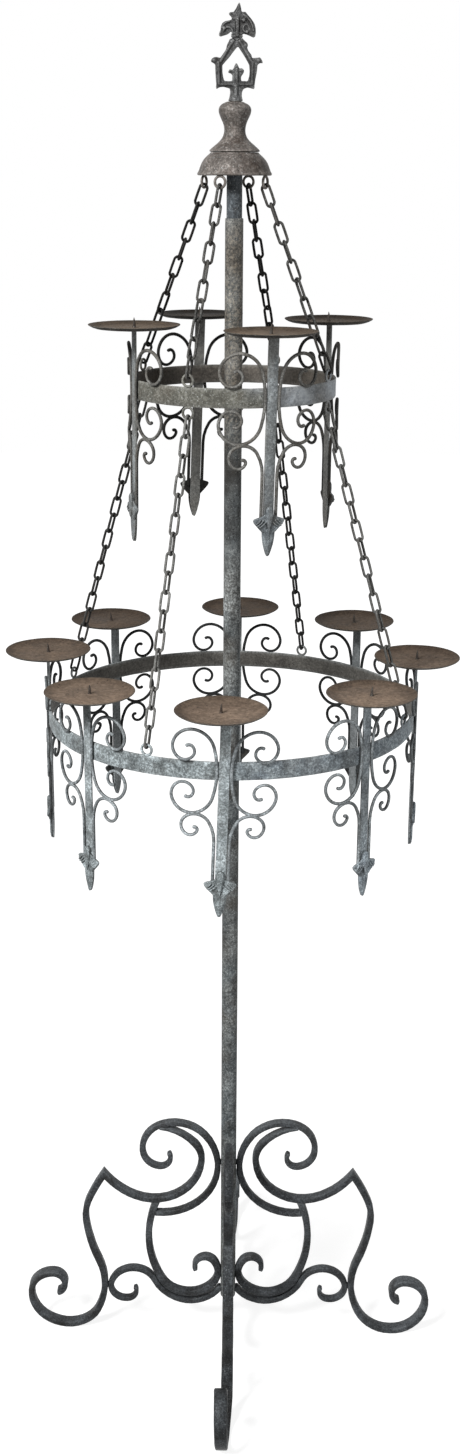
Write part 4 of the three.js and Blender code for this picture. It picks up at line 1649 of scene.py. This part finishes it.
    def _ear(self, bench: Bench, hand: int, top: float, back: float) -> None:
        """Casts one of a leaf's ears, with three fanned ribs and a raised lower rim.

        Args:
            bench: The leaf's workbench.
            hand: 1 for the ear towards +X and -1 for the other.
            top: The height of the leaf's top.
            back: How far in front of the axis its back lies.
        """
        ear = [
            (2, -7), (5.4, -11), (9, -13.8), (14.5, -15.6), (20.6, -17.4), (22.4, -19.4), (21, -23),
            (15.6, -29), (9.8, -35), (4, -33), (1, -22),
        ]
        outline = [(x * hand, z) for x, z in ear][::hand]
        bench.plate(outline, back, depth=3.0, rim=1.6, crown=0.6, foot=top)
        for x, drop, length in ((4.0, 20, 13.0), (8.2, 19, 12), (12.2, 18, 9.4)):
            rib = ForgedBar(
                bench, (hand * x, top - drop), 90 - hand * 146, thickness=1.9, width=4.4, corner=0.9, sides=8)
            rib.bend(self.leaf_curve, hand * math.degrees(length / self.leaf_curve), wide=0.9)
            self._set_on(rib, back + 3.1)
        rim = self._rib(bench, (hand * 7.6, top - 34.4), 90 - hand * 44, 2.6)
        for length in (8, 9):
            rim.go(length)
        self._set_on(rim, back + 2.6)

    def _rib(self, bench: Bench, at: Pair, heading: float, size: float) -> ForgedBar:
        """Starts a round rib in the plane of the axis, as thick as its size."""
        return ForgedBar(bench, at, heading, size, size, size / 2, sides=8)

    def _set_on(self, rib: ForgedBar, out: float) -> None:
        """Closes a rib and moves it out to the face of the leaf."""
        rib.finish()
        bpy.ops.transform.translate(value=(0, -out * MM, 0))

    def _pan(self, dresser: Dresser) -> bpy.types.Object:
        """Spins one shallow pan at the front and sets its spike on the floor of it.

        Args:
            dresser: What gives the parts their finishes.

        Returns:
            The pan with its spike.
        """
        floor = self.height + self.pan_rim - self.pan_depth
        bench = Bench("pan")
        bench.turn([
            (0, 0), (14, 0), (30, 0), (46, 0.05), (52, 0.6), (56.6, 2.1), (60.4, 4.2),
            (self.pan_radius, 5.0), (61.2, 5.55), (60.5, self.pan_depth), (56.2, 3.7), (51.4, 2.0),
            (45.6, 1.35), (30, 1.3), (14, 1.3), (3.6, 1.35), (0, 1.35),
        ], sides=72, foot=floor)
        pan = bench.close()
        # The share of the pan's radius, which its finish reads for the painted shade on the rim.
        outness = pan.data.attributes.new("out", "FLOAT", "POINT")
        for vertex, share in zip(pan.data.vertices, outness.data):
            share.value = math.hypot(vertex.co.x, vertex.co.y) / (self.pan_radius * MM)
        hammer(pan, size=34, depth=0.35)
        bench = Bench("spike")
        z = floor + 1.0
        s = self.spike
        bench.rod([
            (0, 0, z, 3.0), (0, 0, z + 0.9, 2.4), (0.1, 0, z + 3, 2.0), (0.2, -0.1, z + s * 0.6, 1.5),
            (0.7, -0.3, z + s * 0.85, 0.9), (1.3, -0.4, z + s, 0.25),
        ], sides=10)
        spike = bench.close()
        dresser.paint(pan, self.pan_finish)
        dresser.paint(spike, SPIKE)
        dish = joined([pan, spike], "dish")
        out = self.face + self.gap + self.strap_thickness / 2
        dish.data.transform(Matrix.Translation((0, -out * MM, 0)))
        return dish


@dataclass
class ChainSet:
    """The four chains from one ring of eyelets down to the next, in millimetres.

    Attributes:
        name: The chains' name in the names of their nodes.
        links: How many links one has.
        pitch: The distance between two links.
        top_radius: How far from the axis the upper eyelets' seats lie.
        top_height: The height of those seats.
        bottom_radius: How far from the axis the lower eyelets' seats lie.
        bottom_height: The height of those seats.
        finish: The links' finish.
    """

    name: str
    links: int
    pitch: float
    top_radius: float
    top_height: float
    bottom_radius: float
    bottom_height: float
    finish: Finish
    azimuth: float = -25.0
    frame_wire: float = 1.9
    frame_weld: float = 0.4
    seat: float = 0.3
    wire: float = 1.85
    link_width: float = 15.0
    sway: float = 5.0
    sway_step: float = 2.3

    def build(self, dresser: Dresser) -> None:
        """Makes one chain and copies it round the post.

        Args:
            dresser: What takes the finished pieces.
        """
        chain = self._chain()
        for i in range(4):
            node = f"{self.name}_chain_{i + 1}"
            links = copied(chain, f"{node}_links", spun(self.azimuth + 90 * i))
            dresser.hand_over(links, node, node, self.finish)
        bpy.data.objects.remove(chain)

    def _link(self) -> bpy.types.Object:
        """Bends one long round-wire link, upright and facing -Y.

        Returns:
            The link.
        """
        across = self.link_width / 2 - self.wire
        reach = self.pitch / 2 + self.wire
        bench = Bench("link")
        bench.ring(across, self.wire)
        for side in (-1, 1):
            bench.pick(lambda p, s=side: p.z * s > TOUCHING)
            bpy.ops.transform.translate(value=(0, 0, side * (reach - across) * MM))
        return bench.close()

    def _chain(self) -> bpy.types.Object:
        """Hangs copies of the link under each other, neighbours crossed, and leans the whole chain.

        Returns:
            The chain, at the front.
        """
        link = self._link()
        run = self.bottom_radius - self.top_radius
        lean = math.atan2(run, self.top_height - self.bottom_height)
        hook = self.seat + self.frame_wire * math.sin(math.pi / 3) * run / (self.links * self.pitch)
        frame_reach = (self.pitch + self.frame_wire - self.frame_weld) / 2
        twist = math.pi / 2 * (1 if self.links % 2 else self.links / (self.links - 1))
        made = []
        for i in range(self.links):
            drop = hook + self.frame_wire / 2 - frame_reach - i * self.pitch
            place = Matrix.Translation(Vector((0, -self.top_radius, self.top_height)) * MM)
            place @= Matrix.Rotation(-lean, 4, "X")
            place @= Matrix.Translation((0, 0, drop * MM))
            swayed = self.sway * math.sin(i * self.sway_step) if 0 < i < self.links - 1 else 0
            place @= Matrix.Rotation(math.pi / 2 + i * twist + math.radians(swayed), 4, "Z")
            made.append(copied(link, "link", place))
        bpy.data.objects.remove(link)
        return joined(made, "chain")


@dataclass
class LegSet:
    """The four legs, each of four forged bars in one upright plane, in millimetres."""

    copies: int = 4
    foot_flat: float = 0.5
    corner: float = 2.2
    main: Pair = (10.4, 16.0)
    top: Pair = (9.8, 12.5)
    inner: Pair = (10.8, 14.0)
    brace: Pair = (9.5, 12.0)
    post: float = 12.2
    tuck: float = 11.0
    tuck_out: Pair = (110.0, 290.0)
    tuck_down: Pair = (170.0, 90.0)
    reach: float = 331.0
    foot_drift: float = -10.0
    bead: float = 3.4

    def build(self, dresser: Dresser) -> None:
        """Makes one leg's bars pointing to +X and copies them round the post.

        Args:
            dresser: What takes the finished pieces.
        """
        bars = {
            "main_bar": self._main_bar(),
            "top_scroll": self._top_scroll(),
            "inner_curve": self._inner_curve(),
            "brace": self._brace(),
        }
        lowest = min(v.co.z for v in bars["main_bar"].data.vertices)
        for bar in bars.values():
            bar.data.transform(Matrix.Translation((0, 0, -lowest - self.foot_flat * MM)))
            hammer(bar, size=16, depth=0.3)
            for vertex in bar.data.vertices:
                vertex.co.z = max(vertex.co.z, 0.0)
                vertex.co.x = min(vertex.co.x, self.reach * MM)
        for i in range(self.copies):
            for kind, bar in bars.items():
                forging = copied(bar, f"leg_{i + 1}_{kind}_forging", spun(90 * i - 90))
                if i == 0:
                    self._tuck_in(forging)
                # The front leg takes the darker copy of the finish, painted shade.
                dresser.hand_over(forging, f"leg_{i + 1}_{kind}", "stand", LEG if i else SHADED_FRONT_LEG)
        for bar in bars.values():
            bpy.data.objects.remove(bar)

    def _tuck_in(self, forging: bpy.types.Object) -> None:
        """Draws the front foot in a little, low down and far out, as the hand-bent one is.

        Args:
            forging: A bar of the front leg.
        """
        for vertex in forging.data.vertices:
            out = eased(-vertex.co.y / MM, *self.tuck_out)
            low = eased(vertex.co.z / MM, *self.tuck_down)
            vertex.co.y += self.tuck * MM * out * low

    def _weld(self, bench: Bench, outward: bool = False) -> None:
        """Adds a weld bead where the bar comes nearest to the post, or lies farthest out.

        Args:
            bench: The bar's workbench.
            outward: Whether the bead goes to the far side.
        """
        points = [v.co / MM for v in bmesh.from_edit_mesh(bench.piece.data).verts]
        if outward:
            spot = max(points, key=lambda p: p.x)
            size, shift = self.bead, 0.8
        else:
            spot = min(points, key=lambda p: p.x)
            size = max(spot.x - self.post, 0) / 2 + 2.6
            shift = 2.2 - size
        bench.ball(size, (spot.x + shift, 0, spot.z), subdivisions=3, scale=(1, 1.3, 1.7))

    def _bar(self, name: str, at: Pair, heading: float, size: Pair) -> tuple[Bench, ForgedBar]:
        """Starts a bar at a point of the leg's plane."""
        bench = Bench(name)
        return bench, ForgedBar(bench, at, heading, size[0], size[1], self.corner)

    def _main_bar(self) -> bpy.types.Object:
        """Bends the main bar: a scarfed tail, the shoulder, the peak, the limb and the curled foot.

        Returns:
            The bar.
        """
        bench, bar = self._bar("main_bar", (110, 390), 185.3, (self.main[0] * 0.5, self.main[1] * 0.9))
        bar.bend(83.4, 45, thin=1.9, wide=1.11)
        bar.bend(44.1, 43, thin=1.05)
        bar.bend(76.9, 110)
        bar.bend(116.5, 28.1)
        bar.mitre(-109.6, 8.0)
        bar.bend(290.4, -9.4)
        bar.bend(75.2, -28, wide=1.04)
        bar.bend(271.3, -17, wide=1.06)
        bar.bend(118.1, 49, wide=1.05, drift=self.foot_drift * 0.08)
        bar.bend(58.4, 84, wide=1.05, drift=self.foot_drift * 0.72)
        bar.bend(58.4, 76, wide=1.03, drift=self.foot_drift * 0.2)
        bar.bend(35.4, 86, wide=1.03)
        bar.bend(20.1, 128, thin=0.85, wide=1.02)
        bar.bend(11.7, 38, thin=0.9)
        bar.finish()
        return bench.close()

    def _top_scroll(self) -> bpy.types.Object:
        """Bends the large scroll beside the post, from its small curl to its straight tail.

        Returns:
            The bar.
        """
        bench, bar = self._bar("top_scroll", (95.5, 342), 240.3, (self.top[0] * 0.74, self.top[1] * 0.9))
        bar.bend(16.1, 129, thin=1.2, wide=1.06)
        bar.bend(30.7, 68, thin=1.12, wide=1.05)
        for radius, turn in ((46, 85), (63.7, 67), (87.9, 91), (91.8, 46)):
            bar.bend(radius, turn)
        bar.finish()
        self._weld(bench)
        return bench.close()

    def _inner_curve(self) -> bpy.types.Object:
        """Bends the inner curve, from the shoulder down to the small curl at the post.

        Returns:
            The bar.
        """
        bench, bar = self._bar("inner_curve", (116.1, 253.9), 293.0, self.inner)
        for radius, turn in ((173.3, -51.6), (50.9, -112), (35.3, -77)):
            bar.bend(radius, turn)
        bar.bend(17.2, -165, thin=0.68, wide=0.94)
        bar.finish()
        return bench.close()

    def _brace(self) -> bpy.types.Object:
        """Bends the brace, from the post out to its small curl at the limb.

        Returns:
            The bar.
        """
        bench, bar = self._bar("brace", (12.8, 87), 303.5, self.brace)
        for radius, turn in ((58.7, 82), (71.2, 40), (38, -142)):
            bar.bend(radius, turn)
        bar.bend(24.7, -118, thin=0.86)
        bar.bend(14.8, -102, thin=0.8, wide=0.95)
        bar.finish()
        self._weld(bench)
        self._weld(bench, outward=True)
        return bench.close()


@dataclass
class Studio:
    """The camera of the photograph, soft lamps, and a pale floor under a white surround, in metres."""

    lens: float = 40.96
    location: Place = (-0.0018, -2.3, 1.8367)
    pitch: float = 71.32
    roll: float = 0.33
    aim: Place = (0.0, 0.0, 1.1)
    floor_radius: float = 9.0
    floor_rim: float = 2.0
    floor_glow: float = 0.5
    surround_light: float = 0.1
    white: Colour = (1.0, 1.0, 1.0)

    def build(self) -> None:
        """Makes the whole studio."""
        self._camera()
        self._lamp("key lamp", (-2.2, -2.8, 4.0), size=1.3, power=300)
        self._lamp("fill lamp", (2.8, -2.6, 1.7), size=1.6, power=42)
        self._surround()
        self._floor()

    def _camera(self) -> None:
        """Sets the camera up."""
        camera = bpy.data.cameras.new("camera")
        camera.lens = self.lens
        camera.sensor_width = 36.0
        holder = bpy.data.objects.new("camera", camera)
        tilt = Matrix.Rotation(math.radians(self.pitch), 4, "X")
        holder.matrix_world = Matrix.Translation(self.location) @ (tilt @ spun(self.roll))
        bpy.context.scene.collection.objects.link(holder)
        bpy.context.scene.camera = holder
        bpy.context.scene.view_settings.view_transform = "Standard"

    def _lamp(self, name: str, place: Place, size: float, power: float) -> None:
        """Adds a soft square lamp that looks at the middle of the candelabra.

        Args:
            name: The lamp's name.
            place: Where it hangs.
            size: The length of its sides.
            power: Its power in watts.
        """
        lamp = bpy.data.lights.new(name, "AREA")
        lamp.shape = "SQUARE"
        lamp.size = size
        lamp.energy = power
        holder = bpy.data.objects.new(name, lamp)
        way = Vector(self.aim) - Vector(place)
        turn = way.to_track_quat("-Z", "Y").to_matrix().to_4x4()
        holder.matrix_world = Matrix.Translation(place) @ turn
        bpy.context.scene.collection.objects.link(holder)

    def _shown(self, board: Board) -> Socket:
        """Tells what the camera sees, straight or mirrored, from what only lights the object.

        Args:
            board: The board of the floor's material or the world.

        Returns:
            1 for what is seen and 0 for the rest.
        """
        path = board.add("LightPath")
        seen = board.math("MAXIMUM", path.outputs["Is Camera Ray"], path.outputs["Is Glossy Ray"])
        return board.math("MAXIMUM", seen, path.outputs["Is Transmission Ray"])

    def _surround(self) -> None:
        """Makes the world white to the camera and a soft grey light to the object."""
        world = bpy.data.worlds.new("surround")
        world.use_nodes = True
        world.node_tree.nodes.clear()
        board = Board(world.node_tree)
        strength = board.spread(self._shown(board), 0.0, 1.0, self.surround_light, 1.0)
        shine = board.add("Background", {"Color": self.white, "Strength": strength})
        board.add("OutputWorld", {"Surface": shine.outputs[0]})
        bpy.context.scene.world = world

    def _floor(self) -> None:
        """Lays a wide round floor, white apart from the object's soft shadow."""
        bench = Bench("floor")
        bpy.ops.mesh.primitive_circle_add(vertices=96, radius=self.floor_radius, fill_type="NGON")
        bpy.ops.mesh.inset(thickness=self.floor_rim)
        floor = bench.close()
        paint = bpy.data.materials.new("studio floor")
        paint.use_nodes = True
        paint.node_tree.nodes.clear()
        board = Board(paint.node_tree)
        shown = self._shown(board)
        grey = board.blend(shown, (0.25, 0.25, 0.25), (0.8, 0.8, 0.8))
        matt = board.add("BsdfDiffuse", {"Color": grey})
        far = board.add("VectorMath", {0: board.add("TexCoord").outputs["Object"]}, operation="LENGTH")
        strength = board.spread(far.outputs["Value"], 0.8, 3.0, 1.7, 2.1)
        shine = board.add("Emission", {"Color": self.white, "Strength": strength})
        share = board.spread(shown, 0.0, 1.0, 0.0, self.floor_glow)
        mix = board.add("MixShader", {0: share, 1: matt.outputs[0], 2: shine.outputs[0]})
        board.add("OutputMaterial", {"Surface": mix.outputs[0]})
        floor.data.materials.append(paint)


def main() -> None:
    """Builds the studio and every sub-assembly."""
    logging.basicConfig(level=logging.INFO, format="%(name)s: %(message)s")
    Studio().build()
    dresser = Dresser()
    PostAndMast().build(dresser)
    Canopy().build(dresser)
    Tier(
        "upper", radius=139.5, height=1554.053, arms=4, azimuth=20.7, eyes_below=True,
        band_finish=UPPER_BAND, arm_finish=UPPER_ARM, wire_finish=UPPER_WIRE, leaf_finish=UPPER_LEAF,
        pan_finish=SHADED_UPPER_PAN, leans={1: 1.3, 3: -2.0, 4: 1.5},
    ).build(dresser)
    Tier(
        "lower", radius=264.5, height=1087.063, arms=8, azimuth=-1.9, eyes_below=False,
        band_finish=LOWER_BAND, arm_finish=LOWER_ARM, wire_finish=LOWER_WIRE, leaf_finish=LOWER_LEAF,
        pan_finish=PAN, leans={1: 1.8},
    ).build(dresser)
    ChainSet(
        "upper", links=10, pitch=25.35, top_radius=44.5, top_height=1812.941,
        bottom_radius=139.5, bottom_height=1580.812, finish=UPPER_CHAIN,
    ).build(dresser)
    ChainSet(
        "lower", links=17, pitch=25.55, top_radius=139.5, top_height=1527.294,
        bottom_radius=264.5, bottom_height=1113.823, finish=CHAIN,
    ).build(dresser)
    LegSet().build(dresser)
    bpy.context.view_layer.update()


if __name__ == "__main__":
    main()
